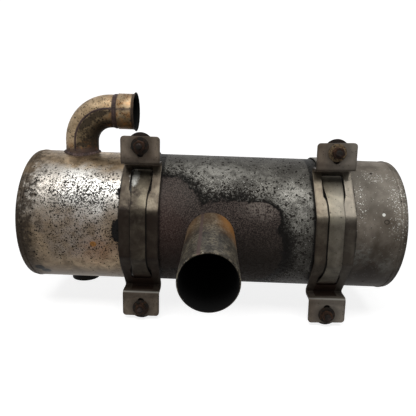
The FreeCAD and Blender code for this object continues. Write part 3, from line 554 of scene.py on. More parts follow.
def step(value, low, high, to_low=0.0, to_high=1.0):
    """A smooth step of a value from one level to another."""
    inputs = {"Value": value, "From Min": low, "From Max": high, "To Min": to_low, "To Max": to_high}
    return node("MapRange", inputs, interpolation_type="SMOOTHSTEP")[0]


def noise(vector, scale, detail=3.0, roughness=0.55, distortion=0.0):
    inputs = {"Vector": vector, "Scale": scale, "Detail": detail, "Roughness": roughness,
              "Distortion": distortion}
    return node("TexNoise", inputs)["Fac"]


def attribute(tree, name):
    return node("Attribute", {}, tree, attribute_name=name)["Fac"]


def parts_of(vector):
    parts = node("SeparateXYZ", {"Vector": vector})
    return parts[0], parts[1], parts[2]


def vector_of(x=0.0, y=0.0, z=0.0):
    return node("CombineXYZ", {"X": x, "Y": y, "Z": z})[0]


def span(x, y):
    """The length of a flat vector."""
    return node("VectorMath", {0: vector_of(x, y)}, operation="LENGTH")["Value"]


def bump(height, distance, strength):
    return node("Bump", {"Height": height, "Distance": distance, "Strength": strength})[0]


def new_group(name, inputs, outputs):
    """An empty node group. An input's default shows its kind: a number, a place or a colour."""
    tree = bpy.data.node_groups.new(name, "ShaderNodeTree")
    for title, default in inputs.items():
        kind = {3: "Vector", 4: "Color"}[len(default)] if isinstance(default, tuple) else "Float"
        socket = tree.interface.new_socket(title, in_out="INPUT", socket_type="NodeSocket" + kind)
        socket.default_value = default
    for title in outputs:
        kind = "Color" if title == "Color" else "Float"
        tree.interface.new_socket(title, in_out="OUTPUT", socket_type="NodeSocket" + kind)
    return Outputs(tree.nodes.new("NodeGroupInput")), tree.nodes.new("NodeGroupOutput").inputs


def use(group, **inputs):
    """A node group in the tree of its inputs, which are given by name."""
    item = tree_of(inputs.values()).nodes.new("ShaderNodeGroup")
    item.node_tree = bpy.data.node_groups[group]
    for name, value in inputs.items():
        give(item.inputs[name.capitalize()], value)
    return Outputs(item)


def make_pits_group():
    """Small uneven specks: bent cells, each with its own size, and the peaks of a fine noise."""
    given, result = new_group("pits", {"Vector": ORIGIN, "Scale": 400.0, "Amount": 0.5}, ["Mask"])
    vector, scale, share = given["Vector"], given["Scale"], given["Amount"]
    warp = node("TexNoise", {"Vector": vector, "Scale": scale, "Detail": 2.0})["Color"]
    bent = node("VectorMath", {0: warp, 1: (0.5, 0.5, 0.5)}, operation="SUBTRACT")[0]
    moved = node("VectorMath", {0: bent, "Scale": 0.9 / scale}, operation="SCALE")[0]
    place = node("VectorMath", {0: vector, 1: moved}, operation="ADD")[0]
    cells = node("TexVoronoi", {"Vector": place, "Scale": scale, "Randomness": 1.0})
    chance = parts_of(cells["Color"])[0]
    rim = step(chance, 1.0 - share, 1.0) * 0.62 - cells["Distance"]
    level = 0.70 - share * 0.20
    ragged = step(noise(vector, scale, 3.0, 0.65), level, level + 0.03)
    give(result["Mask"], highest(step(rim, 0.0, 0.16), ragged))


def speckles(vector, scale, amount):
    return use("pits", vector=vector, scale=scale, amount=amount)["Mask"]


def make_stain_group():
    """An oval stain on a flat pair of coordinates, with a border that wanders with noise."""
    given, result = new_group(
        "stain", {"Place": ORIGIN, "Centre": ORIGIN, "Size": (0.05, 0.05, 1), "Edge": 0.2, "Wander": 0.5,
                  "Scale": 60.0}, ["Mask", "Distance"])
    away = node("VectorMath", {0: given["Place"], 1: given["Centre"]}, operation="SUBTRACT")[0]
    shrunk = node("VectorMath", {0: away, 1: given["Size"]}, operation="DIVIDE")[0]
    far = node("VectorMath", {0: shrunk}, operation="LENGTH")["Value"]
    far = far + (noise(given["Place"], given["Scale"], 4.0, 0.65) - 0.5) * given["Wander"]
    give(result["Distance"], far)
    give(result["Mask"], step(far, 1.0 - given["Edge"], given["Edge"] + 1.0, 1.0, 0.0))


def stain(place, centre, size, edge=0.2, wander=0.4, scale=45.0, output="Mask"):
    """A stain at a spot of a flat place, in metres."""
    return use("stain", place=place, centre=(*centre, 0), size=(*size, 1), edge=edge, wander=wander,
               scale=scale)[output]


def make_mottle_group():
    """Cloudy patches at two scales, from 0 to 1."""
    given, result = new_group("mottle", {"Vector": ORIGIN, "Scale": 30.0, "Contrast": 0.5},
                              ["Mask", "Fine"])
    broad = noise(given["Vector"], given["Scale"], 5.0, 0.6, 0.3)
    half = given["Contrast"] * 0.5
    give(result["Mask"], step(broad, 0.5 - half, half + 0.5))
    give(result["Fine"], noise(given["Vector"], given["Scale"] * 14.0, 3.0, 0.7))


def cloudy(vector, scale, contrast):
    return use("mottle", vector=vector, scale=scale, contrast=contrast)


def make_rust_group():
    """Rust: three browns by noise, rough, with a crusty height."""
    given, result = new_group(
        "rust", {"Vector": ORIGIN, "Scale": 250.0, "Dark": (0.04, 0.02, 0.01, 1),
                 "Light": (0.3, 0.12, 0.03, 1), "Lightness": 0.4}, ["Color", "Height"])
    crust = noise(given["Vector"], given["Scale"], 6.0, 0.7)
    patches = noise(given["Vector"], given["Scale"] * 0.35, 3.0, 0.6)
    start = 0.8 - given["Lightness"]
    mask = step(patches * 0.6 + crust * 0.4, start, start + 0.25)
    give(result["Color"], blend(mask, given["Dark"], given["Light"]))
    give(result["Height"], crust)


def new_material(name):
    """A new material's shader inputs, and the object coordinates in its tree."""
    material = bpy.data.materials.new(name)
    if material.name != name:
        raise RuntimeError("Another material is already called " + name)
    material.use_nodes = True
    tree = material.node_tree
    return tree.nodes["Principled BSDF"].inputs, node("TexCoord", {}, tree)["Object"]


def paint(shader, **values):
    """Give the shader its inputs by their short names."""
    for name, value in values.items():
        give(shader[SHADER_INPUTS[name]], value)


# Materials


def clamp_seats():
    """Each clamp's side, station and tilt."""
    clamp = bpy.context.scene.muffler_clamp
    return ("left", clamp.left, 0.0), ("right", clamp.right, clamp.right_skew)


def flat_place(vector):
    """The drum's front laid flat: distance along the drum, distance round it by height (R * asin(z / R)),
    and depth off the front skin. Behind the drum the place moves away from every stain."""
    x, y, z = parts_of(vector)
    radius = bpy.context.scene.muffler_drum.radius
    level = highest(maths("MINIMUM", z / radius, 1.0), -1.0)
    arc = maths("ARCSINE", level) * radius
    front = maths("SQRT", 1.0 - level * level)
    depth = y + front * radius
    behind = maths("SIGN", z) * step(y, 0.0, 0.06, 0.0, 0.3)
    return arc, vector_of(x, arc + behind, depth)


def make_drum_material(colours):
    """Polished and heat tinted at the left, sooty round the outlet, grey and brown at the right."""
    shader, vector = new_material("drum_sheet")
    x, _, z = parts_of(vector)
    arc, place = flat_place(vector)
    clouds = cloudy(vector, 24.0, 0.34)
    fine = cloudy(vector, 70.0, 0.4)
    broad = noise(vector, 16.0, 3.0) - 0.5
    ragged = noise(vector, 60.0, 5.0, 0.65) - 0.5
    drift = broad * 0.05 + ragged * 0.03
    along = x + drift
    up = arc + drift
    # Painted shade below the highlight: under this line the polished sheet is painted duller
    lower_shade = step(up, 0.044, 0.004)

    # Left third: a painted highlight on the polished sheet, with painted shade on the duller sheet below
    # it, straw tinted above and at the foot
    belt = step(up, -0.06, -0.025) * step(up, 0.08, 0.1, 1.0, 0.0)
    tan = blend(fine["Mask"], colours.straw, colours.straw_dark)
    milky = blend(fine["Mask"] * 0.7, colours.shaded_steel, colours.straw_dark)
    milky = blend(step(broad, 0.0, 0.12) * 0.6, milky, colours.straw)
    warm = stain(place, (-0.128, -0.045), (0.04, 0.034), 0.6, 1.0, 40.0)
    milky = blend(warm * 0.32, milky, colours.rust)
    polished = blend(lower_shade, colours.bright, milky)
    left = blend(belt, tan, polished)
    left = blend(step(up, -0.045, -0.075) * 0.7, left, colours.straw_dark)
    dirt_zone = highest(stain(place, (-0.125, 0.078), (0.03, 0.012), 0.5, 0.9, 60.0),
                        stain(place, (-0.122, 0.012), (0.014, 0.03), 0.6, 0.9, 50.0))
    left = blend(dirt_zone * 0.65, left, colours.straw_dark)
    frayed = noise(vector, 150.0, 6.0, 0.7) - 0.5
    fray = frayed * step(up, -0.03, 0.02, 0.045, 0.09)
    margin = step(x + fray, -0.24, -0.208, 1.0, 0.0)
    left = blend(step(along, -0.205, -0.178, 1.0, 0.0) * 0.5, left, colours.straw_dark)
    grime = blend(clouds["Mask"], colours.soil_and_shade, colours.straw_dark)
    grime = blend(step(up, 0.09, 0.03) * 0.75, grime, colours.soil_and_shade)
    left = blend(margin * 0.95, left, grime)
    rust_dot = stain(place, (-0.1482, -0.0164), (0.0042, 0.0038), 0.15, 0.25, 200.0)
    left = blend(rust_dot * 0.92, left, colours.golden)

    # Middle: grey sheet in clouds, darker on top, lighter before the right clamp
    grey = blend(clouds["Mask"], colours.grey_dark, colours.grey_sheet)
    pale = highest(stain(place, (0.103, 0.04), (0.022, 0.034), 0.5, 0.7, 40.0),
                   stain(place, (-0.005, 0.088), (0.06, 0.016), 0.5, 0.9, 40.0))
    grey = blend(pale * 0.62, grey, colours.grey_pale)
    curdled = step(noise(vector, 95.0, 6.0, 0.7, 0.4), 0.42, 0.62)
    grey = blend(curdled * 0.68, grey, colours.grey_dark)
    grey = blend(step(up, 0.1, 0.125) * 0.75, grey, colours.grey_dark)
    to_grey = step(x, -0.105, -0.085)
    base = blend(to_grey, left, grey)

    # Right end: brown sheet with pale smears above and stains below
    brown = blend(clouds["Mask"], colours.brown_sheet, colours.brown_dark)
    brown = blend(fine["Mask"] * 0.28, brown, colours.brown_dark)
    smear = stain(place, (0.2, 0.07), (0.05, 0.036), 0.6, 1.2, 30.0)
    brown = blend(smear * 0.35, brown, colours.grey_sheet)
    brown = blend(stain(place, (0.207, -0.052), (0.013, 0.026), 0.4, 0.9, 60.0) * 0.7, brown,
                  colours.rust_brown)
    whitish = highest(stain(place, (0.222, -0.036), (0.01, 0.012), 0.5, 0.9, 90.0),
                      stain(place, (0.19, -0.02), (0.012, 0.014), 0.5, 1.2, 90.0))
    brown = blend(whitish * step(frayed, -0.1, 0.1) * 0.75, brown, colours.grey_pale)
    smudged = highest(stain(place, (0.204, -0.05), (0.013, 0.018), 0.4, 1.4, 110.0),
                      stain(place, (0.176, -0.06), (0.01, 0.016), 0.4, 1.4, 110.0))
    brown = blend(smudged * 0.75, brown, colours.nook)
    veil = step(frayed, 0.02, 0.14) * step(up, 0.0, -0.04)
    brown = blend(veil * 0.45, brown, colours.grey_pale)
    brown = blend(step(x + frayed * 0.02, 0.236, 0.246) * 0.5, brown, colours.soil_and_shade)
    to_brown = step(along, 0.135, 0.165)
    base = blend(to_brown, base, brown)

    # Burnt blots beside the left clamp, a dark one at the foot of the left end, and painted contact
    # shadow along both clamps' edges
    blots_and_clamp_shadow = highest(stain(place, (-0.1165, 0.0025), (0.008, 0.016), 0.12, 1.6, 260.0),
                    stain(place, (-0.114, 0.052), (0.006, 0.01), 0.12, 1.8, 260.0),
                    stain(place, (-0.2265, -0.064), (0.006, 0.006), 0.25, 0.6, 90.0),
                    stain(place, (-0.2205, -0.0735), (0.006, 0.006), 0.3, 0.6, 90.0))
    edge = bpy.context.scene.muffler_clamp.width / 2
    # Painted contact shadow: a dark line on the drum along each clamp's edge
    for _, station, skew in clamp_seats():
        beside = abs(x + z * math.sin(skew) - station) + ragged * 0.005
        blots_and_clamp_shadow = highest(blots_and_clamp_shadow, step(beside, edge + 0.0035, edge + 0.001) * 0.85)

    # Soot round the outlet, with a mottled black border
    lobes = [((-0.055, 0.010), (0.048, 0.068)), ((0.022, -0.022), (0.073, 0.070)),
             ((0.058, 0.024), (0.030, 0.022)), ((-0.010, -0.115), (0.094, 0.062))]
    far = None
    for centre, size in lobes:
        here = stain(place, centre, size, 0.06, 0.3, 60.0, output="Distance")
        far = here if far is None else maths("MINIMUM", far, here)
    far = far + (noise(vector, 360.0, 3.0, 0.7) - 0.5) * 0.26
    soot = step(far, 0.96, 1.03, 1.0, 0.0) * to_grey
    ring = step(far, 1.05, 1.62, 1.0, 0.0) * to_grey
    right_side = step(x, 0.06, 0.082)
    rim = step(far, 0.95, 1.0) * step(far, mix(right_side, 1.2, 1.27), 1.03) * to_grey

    # Pits: dense in the bright belt and round the soot, sparse elsewhere
    dense = highest(stain(place, (-0.172, 0.056), (0.06, 0.03), 0.5, 1.1, 40.0),
                    stain(place, (0.103, 0.0), (0.026, 0.06), 0.5, 0.8, 40.0))
    medium = stain(place, (-0.16, 0.005), (0.064, 0.055), 0.5, 0.8, 40.0)
    amount_left = (dense * 0.46 + medium * 0.36 + 0.12) * step(up, -0.066, -0.03, 0.25, 1.0)
    amount_mid = mix(to_brown, highest(ring * 0.56, dense * 0.22) + 0.32, 0.02)
    pit_amount = mix(to_grey, amount_left, amount_mid)
    pits = highest(speckles(vector, mix(to_grey, 430.0, 290.0), pit_amount),
                   speckles(vector, 930.0, pit_amount))
    base = blend(pits * 0.94, base, colours.pit_and_shade)
    base = blend(blots_and_clamp_shadow, base, colours.pit_and_shade)

    # Soot colour: grainy, painted darker towards the underside as shade, reddish towards the left,
    # blackened along its rim
    grain = noise(vector, 720.0, 3.0, 0.75)
    sooty = blend(step(grain, 0.4, 0.64), colours.soot_dark, colours.soot)
    sooty = blend(step(up, 0.06, -0.07) * 0.62, sooty, colours.pit_and_shade)
    bluish = stain(place, (-0.052, 0.05), (0.03, 0.024), 0.7, 0.6, 60.0)
    sooty = blend(bluish * 0.16, sooty, colours.grey_sheet)
    warm = stain(place, (-0.055, -0.01), (0.025, 0.06), 0.6, 1.2, 60.0)
    sooty = blend(warm * 0.2, sooty, colours.soot_red)
    baked = stain(place, (0.062, 0.036), (0.022, 0.012), 0.6, 1.0, 70.0)
    sooty = blend(baked * step(noise(vector, 420.0, 3.0), 0.4, 0.62) * 0.6, sooty, colours.shaded_steel)
    base = blend(soot, base, sooty)
    broken = noise(vector, 300.0, 5.0, 0.75) + right_side * 0.09
    black_rim = rim * step(broken, 0.42, 0.5)
    base = blend(black_rim * 0.96, base, colours.pit_and_shade)

    # Light specks, mostly towards the right end and beside the right clamp
    scatter = highest(stain(place, (0.236, 0.045), (0.014, 0.05), 0.5, 1.0, 40.0),
                      stain(place, (0.187, 0.05), (0.007, 0.026), 0.5, 1.0, 60.0),
                      stain(place, (0.212, 0.088), (0.022, 0.008), 0.5, 1.0, 60.0))
    speck_amount = (highest(scatter * 0.34, ring * 0.12) + 0.05) * to_grey
    laid = node("Mapping", {"Vector": place, "Location": (0.3, 0.3, 0.3)})[0]
    specks = speckles(laid, 760.0, speck_amount) * (1.0 - highest(soot, rim))
    dots = highest(stain(place, (0.2144, 0.0349), (0.002, 0.002), 0.2, 0.1, 200.0),
                   specks * (scatter * 0.45 + 0.3))
    base = blend(dots, base, colours.speck)
    mark = stain(place, (0.218, 0.026), (0.003, 0.0026), 0.2, 0.1, 200.0, output="Distance")
    mark = step(mark, 0.5, 0.9) * step(mark, 1.0, 1.4, 1.0, 0.0)
    base = blend(mark * 0.7, base, colours.pit_and_shade)

    # Painted shade: the sheet is painted darker towards the underside, less so in one lighter patch
    lighter_patch = stain(place, (0.116, -0.034), (0.024, 0.036), 0.5, 0.8, 60.0) * step(far, 1.0, 1.2)
    underside_shade = step(up, 0.045, -0.075) * mix(to_grey, 0.25, 0.86) * mix(lighter_patch, 1.0, 0.55)
    base = blend(underside_shade, base, colours.soil_and_shade)
    base = blend(highest(blots_and_clamp_shadow, black_rim) * 0.7, base, colours.black)

    rough = mix(highest(to_brown, margin), mix(to_grey, 0.3, 0.42), 0.5) + fine["Fine"] * 0.1
    rough = mix(pits, mix(soot, rough, 0.6), 0.85)
    # Painted shade also lowers the metal below the highlight and towards the underside
    shine = mix(highest(to_grey, margin), step(up, -0.078, -0.045, 0.5, 0.95), 0.4)
    shine = shine * mix(lower_shade, 1.0, mix(to_grey, 0.6, 0.3))
    dull = highest(soot, pits, blots_and_clamp_shadow)
    relief = grain * soot - pits * 0.8 + fine["Fine"] * 0.15
    paint(shader, base=base, rough=rough, metal=shine * (1.0 - dull), gloss=0.08,
          normal=bump(relief, 0.0006, 0.55))


def make_outlet_material(colours):
    """Olive grey with streaks along the pipe, orange rust at its root, a seam line, painted shade on its
    underside, black inside.
    """
    shader, vector = new_material("outlet_sheet")
    x, y, z = parts_of(vector)
    streaked = node("Mapping", {"Vector": vector, "Scale": (1.0, 0.25, 1.0)})[0]
    clouds = cloudy(streaked, 110.0, 0.4)
    blotches = cloudy(vector, 55.0, 0.3)
    base = blend(clouds["Mask"], colours.outlet_dark, colours.outlet)
    base = blend(blotches["Mask"] * 0.55, base, colours.outlet_dark)
    base = blend(speckles(vector, 520.0, 0.3) * 0.45, base, colours.grey_pale)
    base = blend(speckles(vector_of(y, z, x), 360.0, 0.85) * 0.8, base, colours.pit_and_shade)
    smudge = step(noise(vector, 85.0, 5.0, 0.7), 0.5, 0.6) * step(y, -0.11, -0.14)
    base = blend(smudge * 0.75, base, colours.pit_and_shade)
    turn = maths("ARCTAN2", z, x)
    ragged = noise(vector, 70.0, 5.0, 0.65) - 0.5
    root = y + ragged * 0.05
    near_root = step(root, -0.182, -0.1)
    sides = highest(step(turn, 1.5, 0.8), step(turn, 1.95, 2.4))
    sides = sides * mix(step(x, -0.006, 0.012), 0.12, 0.66)
    rust = near_root * (sides + 0.14)
    crust = use("rust", vector=vector, scale=300.0, dark=colours.dark_rust, light=colours.golden,
                lightness=0.6)
    base = blend(rust, base, crust["Color"])
    seam = step(abs(turn - 1.92) + ragged * 0.06, 0.085, 0.045)
    base = blend(seam * 0.9, base, colours.weld)
    # Painted shade: the stub's underside is painted dark and loses its metal
    low = step(z + ragged * 0.01, 0.004, -0.022)
    base = blend(low * 0.8, base, colours.soil_and_shade)
    sizes = bpy.context.scene.muffler_outlet
    inner = sizes.radius - sizes.wall
    inside = step(span(x, z), inner + 0.0012, inner + 0.0004)
    base = blend(inside, base, colours.black)
    rough = mix(highest(inside, rust), clouds["Fine"] * 0.25 + 0.38, 0.9)
    dull = highest(inside, rust, low * 0.7)
    paint(shader, base=base, rough=rough, metal=(1.0 - dull) * 0.6, gloss=0.1,
          normal=bump(clouds["Fine"], 0.0004, 0.4))


def make_elbow_material(colours):
    """Golden tan on the outside of the bend, dark olive inside it with painted shade along its innermost
    side, purple beside the welds.
    """
    shader, vector = new_material("elbow_sheet")
    x, y, z = parts_of(vector)
    sizes = bpy.context.scene.muffler_inlet
    outward = attribute(vector.tree, "outward")
    ragged = noise(vector, 90.0, 5.0, 0.65) - 0.5
    clouds = cloudy(vector, 60.0, 0.4)
    base = blend(clouds["Mask"], colours.elbow, colours.elbow_dark)
    side = outward + ragged * 0.5
    inner_half = step(side, 0.17, 0.02)
    base = blend(inner_half * 0.75, base, colours.olive)
    # Painted shade: the innermost side of the bend is painted dark; the blotches on the inner half are
    # stains
    deep = step(side, -0.35, -0.75)
    blot = step(noise(vector, 62.0, 4.0, 0.65), 0.47, 0.55)
    deep = highest(deep * 0.85, inner_half * blot * 0.7)
    base = blend(deep, base, colours.soil_and_shade)
    start, axis = sizes.collar_start, sizes.axis_height
    lower_side = step(z + ragged * 0.02, axis + 0.008, axis - 0.012)
    base = blend(step(x, start - 0.003, start) * lower_side * 0.8, base, colours.olive)
    pits = speckles(vector, 400.0, clouds["Mask"] * 0.4 + 0.3)
    base = blend(pits * 0.8, base, colours.pit_and_shade)
    height = z - axis
    place = mix(step(x, start - 0.001, start), outward, height * (1 / sizes.radius))
    away = abs(place - math.sin(sizes.seam_turn))
    heat = step(away + ragged * 0.06, 0.11, 0.03)
    ring = step(abs(x - (start - sizes.collar_bead)) + ragged * 0.004, 0.0044, 0.0026)
    foot = step(z + ragged * 0.008, 0.101, 0.093)
    lip = step(x + ragged * 0.002, sizes.mouth - 0.0052, sizes.mouth - 0.0034)
    marks = highest(heat * 0.75, ring, foot)
    near = highest(step(x, start - 0.022, start - 0.004), step(z, 0.112, 0.096))
    stained = step(noise(vector, 130.0, 4.0, 0.7), 0.47, 0.6) * near
    base = blend(stained * 0.32, base, colours.rust)
    base = blend(marks * 0.85, base, colours.weld)
    base = blend(lip * 0.85, base, colours.weld_dark)
    flare = maths("DIVIDE", x - (sizes.mouth - sizes.flare_length), sizes.flare_length, clamp=True)
    depth = flare * flare * sizes.flare_height + (sizes.collar_inner + 0.0012) - span(y, height)
    dark = step(depth, -0.0001, 0.0001) * step(x, start + 0.0008, start + 0.0012)
    base = blend(dark, base, colours.black)
    dull = highest(pits, dark, deep * 0.8, highest(marks, lip) * 0.5)
    paint(shader, base=base, rough=mix(dull, clouds["Fine"] * 0.2 + 0.36, 0.8),
          metal=(1.0 - dull) * 0.7, gloss=0.1, normal=bump(clouds["Fine"] - pits, 0.0004, 0.4))


def make_weld_material(colours):
    """Oxidised weld metal, purple brown, with soot in its hollows."""
    shader, vector = new_material("weld_bead")
    clouds = cloudy(vector, 140.0, 0.4)
    base = blend(clouds["Mask"], colours.weld, colours.weld_dark)
    base = blend(step(clouds["Fine"], 0.62, 0.75) * 0.5, base, colours.straw_dark)
    paint(shader, base=base, rough=mix(clouds["Fine"], 0.4, 0.75), metal=0.3, gloss=0.1,
          normal=bump(clouds["Fine"], 0.0003, 0.4))


def make_strap_material(name, colours, first, second, edge_shade, gap_shadow, shadow, shine):
    """Worn strip steel, brushed along its length, with painted shade in the folds and below. Its edges
    are painted darker, as shade, between two distances from the middle line. The painted shadow in the
    gap beside the strap starts at one distance at the waist and at another beyond it, and darkens over a
    given run."""
    shader, vector = new_material(name)
    x, y, z = parts_of(vector)
    along = attribute(vector.tree, "along")
    across = attribute(vector.tree, "across")
    lines = noise(vector_of(along * 0.12, across), 1400.0, 3.0, 0.7)
    clouds = cloudy(vector, 62.0, 0.42)
    level = abs(z)
    wing = step(level, 0.083, 0.076)
    wide = cloudy(vector, 30.0, 0.35)
    own = blend(clouds["Mask"] * 0.5 + wide["Mask"] * 0.5, first, second)
    base = blend(wing * 0.6, own, blend(clouds["Mask"], colours.strap, colours.strap_dark))
    base = blend(step(lines, 0.4, 0.75) * 0.35, base, second)
    smut = step(noise(vector, 46.0, 5.0, 0.7), 0.48, 0.66)
    left = step(x, 0.02, -0.02)
    patch = mix(step(x, -0.08, -0.1), 0.28, 0.56) + clouds["Mask"] * 0.24
    smut = smut * mix(left, 0.14, 0.34) + wing * left * patch
    base = blend(smut, base, colours.soil_and_shade)
    # Painted highlight: the right clamp is painted lighter, standing in for its glint
    base = blend(step(x, 0.13, 0.16, 0.0, 0.26), base, colours.grey_pale)
    ring = span(across, abs(level - bpy.context.scene.muffler_fastener.height))
    halo = step(ring + smut * 0.01, 0.021, 0.012)
    # Painted shade along each ear's fold into its shelf
    fold = step(level, 0.098, 0.091) * step(level, 0.082, 0.086)
    base = blend(highest(halo * 0.4, fold * 0.45), base, colours.soil_and_shade)
    ragged = noise(vector, 80.0, 5.0, 0.65) - 0.5
    # Painted shade: the strip is painted darker below the upper kink, less at the right clamp, not on the
    # lower ears
    lower_shade = step(z + ragged * 0.012, 0.036, 0.02) * step(z, -0.089, -0.081)
    lower_shade = lower_shade * mix(clouds["Mask"], shadow - 0.1, shadow + 0.08) * step(x, 0.02, 0.1, 1.0, 0.84)
    shade_tone = [(soil_and_shade + nook) / 2 for soil_and_shade, nook in zip(colours.soil_and_shade, colours.nook)]
    base = blend(lower_shade, base, shade_tone)
    scuff = stain(vector_of(x, z), (-0.0985, 0.067), (0.0045, 0.0075), 0.6, 2.2, 260.0)
    base = blend(scuff * step(y, 0.0, -0.02) * 0.6, base, colours.speck)
    pits = speckles(vector, 620.0, 0.1)
    base = blend(pits * 0.5, base, colours.soil_and_shade)
    edge = abs(across)
    # Painted shade along the edges
    base = blend(step(edge, *edge_shade) * 0.3, base, colours.soil_and_shade)
    at_waist, beyond, run = gap_shadow
    limit = mix(step(level, 0.044, 0.054), at_waist, beyond)
    # Painted shadow in the gap beside the strap
    base = blend(step(edge, limit, limit + run) * wing * 0.85, base, colours.black)
    # Painted highlight along the fold of the lower ears
    ridge_highlight = step(abs(z + 0.0858), 0.0014, 0.0004) * step(y, -0.072, -0.075)
    base = blend(ridge_highlight * 0.5, base, colours.grey_pale)
    # Painted shade: what lies inside the lower windows is painted dark brown
    nook = step(edge, 0.015, 0.0138) * (step(z, -0.062, -0.07) * step(y, -0.07, -0.067))
    base = blend(nook * 0.95, base, colours.nook)
    dull = highest(pits, lower_shade, nook)
    paint(shader, base=base, rough=mix(dull, lines * 0.18 + 0.32, 0.7),
          metal=(1.0 - dull) * mix(wing, shine, 0.6), gloss=0.08, normal=bump(lines, 0.0002, 0.35))


def make_rust_material(name, dark, light, lightness, tint=None):
    """Crusted rust, with a tint at the part's upper right on request."""
    shader, vector = new_material(name)
    crust = use("rust", vector=vector, scale=420.0, dark=dark, light=light, lightness=lightness)
    base = crust["Color"]
    if tint is not None:
        x, _, z = parts_of(vector)
        lightest = step(x, 0.1, 0.12) * step(z, 0.0, 0.02) * step(crust["Height"], 0.36, 0.56)
        base = blend(lightest * 0.75, base, tint)
    paint(shader, base=base, rough=0.72, metal=0.1, gloss=0.12,
          normal=bump(crust["Height"], 0.0006, 0.6))


def make_dull_material(name, first, second, scale):
    """Dirty dark metal in two shades."""
    shader, vector = new_material(name)
    clouds = cloudy(vector, scale, 0.5)
    paint(shader, base=blend(clouds["Mask"], first, second), rough=mix(clouds["Fine"], 0.6, 0.85),
          metal=0.0, gloss=0.08, normal=bump(clouds["Fine"], 0.0004, 0.5))


class MUFFLER_OT_finishes(bpy.types.Operator):
    """Make the node groups and the materials"""
    bl_idname = "muffler.finishes"
    bl_label = "Finishes"

    def execute(self, context):
        colours = context.scene.muffler_colours
        clamp, strap = context.scene.muffler_clamp, context.scene.muffler_band
        make_pits_group()
        make_stain_group()
        make_mottle_group()
        make_rust_group()
        make_drum_material(colours)
        make_outlet_material(colours)
        make_elbow_material(colours)
        make_weld_material(colours)
        waist, full = strap.waist / 2, strap.width / 2
        make_strap_material("strap_steel", colours, colours.strap, colours.strap_dark,
                            edge_shade=(0.0085, 0.0125), gap_shadow=(waist - 0.0003, full - 0.0003, 0.0004),
                            shadow=0.64, shine=0.55)
        make_strap_material("ear_steel", colours, colours.ear, colours.ear_dark,
                            edge_shade=(clamp.width / 2 - 0.003, clamp.width / 2),
                            gap_shadow=(waist + 0.0014, full + 0.0010, -0.0006), shadow=0.92, shine=0.3)
        make_dull_material("boss_crust", colours.pit_and_shade, colours.black, 90.0)
        make_dull_material("inner_sheet", colours.soil_and_shade, colours.pit_and_shade, 60.0)
        make_rust_material("rusted_bolts", colours.pit_and_shade, colours.weld, 0.34)
        make_rust_material("rusted_nuts", colours.dark_rust, colours.rust_brown, 0.38)
        make_rust_material("rusted_washers", colours.pit_and_shade, colours.rust_brown, 0.34,
                           tint=colours.elbow_dark)
        make_rust_material("rusted_backing", colours.pit_and_shade, colours.dark_rust, 0.4)
        return {"FINISHED"}


# Drum


def make_drum_skin(sizes, outlet):
    """The rolled shell: x runs along it and a runs round it, at (x, -R cos a, R sin a). Round the
    outlet a patch runs from the hole's circle out to the straight grid lines."""
    radius, half = sizes.radius, outlet.patch
    hole = outlet.radius - outlet.wall / 2
    cell_turn, patch_turn = 3, 30
    patch_lines = np.linspace(-half, half, 23)
    x_lines = np.concatenate([np.linspace(-sizes.joint, -half, 49), patch_lines[1:],
                              np.linspace(half, sizes.joint, 49)[1:]])
    x, a = np.meshgrid(x_lines, np.radians(np.arange(-180, 180, cell_turn)), indexing="ij")
    skin = together(x, -radius * np.cos(a), radius * np.sin(a))
    faces = grid_faces(*x.shape, False, True)
    corner_x, corner_a = x.ravel()[faces], a.ravel()[faces]
    middle_x = corner_x.mean(axis=1)
    reach = np.abs(corner_a).max(axis=1)
    limit = math.radians(patch_turn) + 1e-6
    kept = ~((np.abs(middle_x) < half) & (reach < limit))
    side_x = patch_lines[:-1]
    side_a = np.radians(np.arange(-patch_turn, patch_turn, cell_turn))
    end_x, end_a = np.full(len(side_a), half), np.full(len(side_x), side_a[0])
    rim_x = np.concatenate([side_x, end_x, -side_x, -end_x])
    rim_a = np.concatenate([end_a, side_a, -end_a, -side_a])
    turn = np.arctan2(radius * np.sin(rim_a), rim_x)
    hole_x, hole_a = hole * np.cos(turn), np.arcsin(hole * np.sin(turn) / radius)
    t = np.linspace(0, 1, 10)[:, None] ** 1.2
    patch_x, patch_a = hole_x + (rim_x - hole_x) * t, hole_a + (rim_a - hole_a) * t
    patch = together(patch_x, -radius * np.cos(patch_a), radius * np.sin(patch_a))
    patch_faces = grid_faces(*patch_x.shape, False, True)[:, ::-1] + skin.shape[0] * skin.shape[1]
    points = np.concatenate([skin.reshape(-1, 3), patch.reshape(-1, 3)])
    return piece_from_faces("drum_skin", points, np.concatenate([faces[kept], patch_faces]),
                            closed=True, sharp=50)


def cap_profile(sizes):
    """Distances along the axis and radii of a cap, round its outside and back along its inside."""
    t = np.radians(np.linspace(0, 90, 9))
    end, radius, corner, wall = sizes.end, sizes.radius, sizes.corner, sizes.cap_wall
    outer = together(end - corner * (1 - np.sin(t)), radius - corner * (1 - np.cos(t)))
    inner = together(end - corner + (corner - wall) * np.sin(t),
                     radius - corner + (corner - wall) * np.cos(t))
    s = np.linspace(0, 1, 9)
    slope = together(end - sizes.dish_depth * smooth(s), sizes.dish_radius - sizes.dish_slope * s)
    floor = together(end - sizes.dish_depth, np.linspace(slope[-1, 1], 0, 7)[1:])
    front = np.concatenate([outer, slope, floor])
    back = np.concatenate([inner, slope - (wall, 0), floor - (wall, 0)])[::-1]
    skirt = [(sizes.joint, radius - wall), (sizes.joint, radius)]
    return np.concatenate([skirt, front, back])


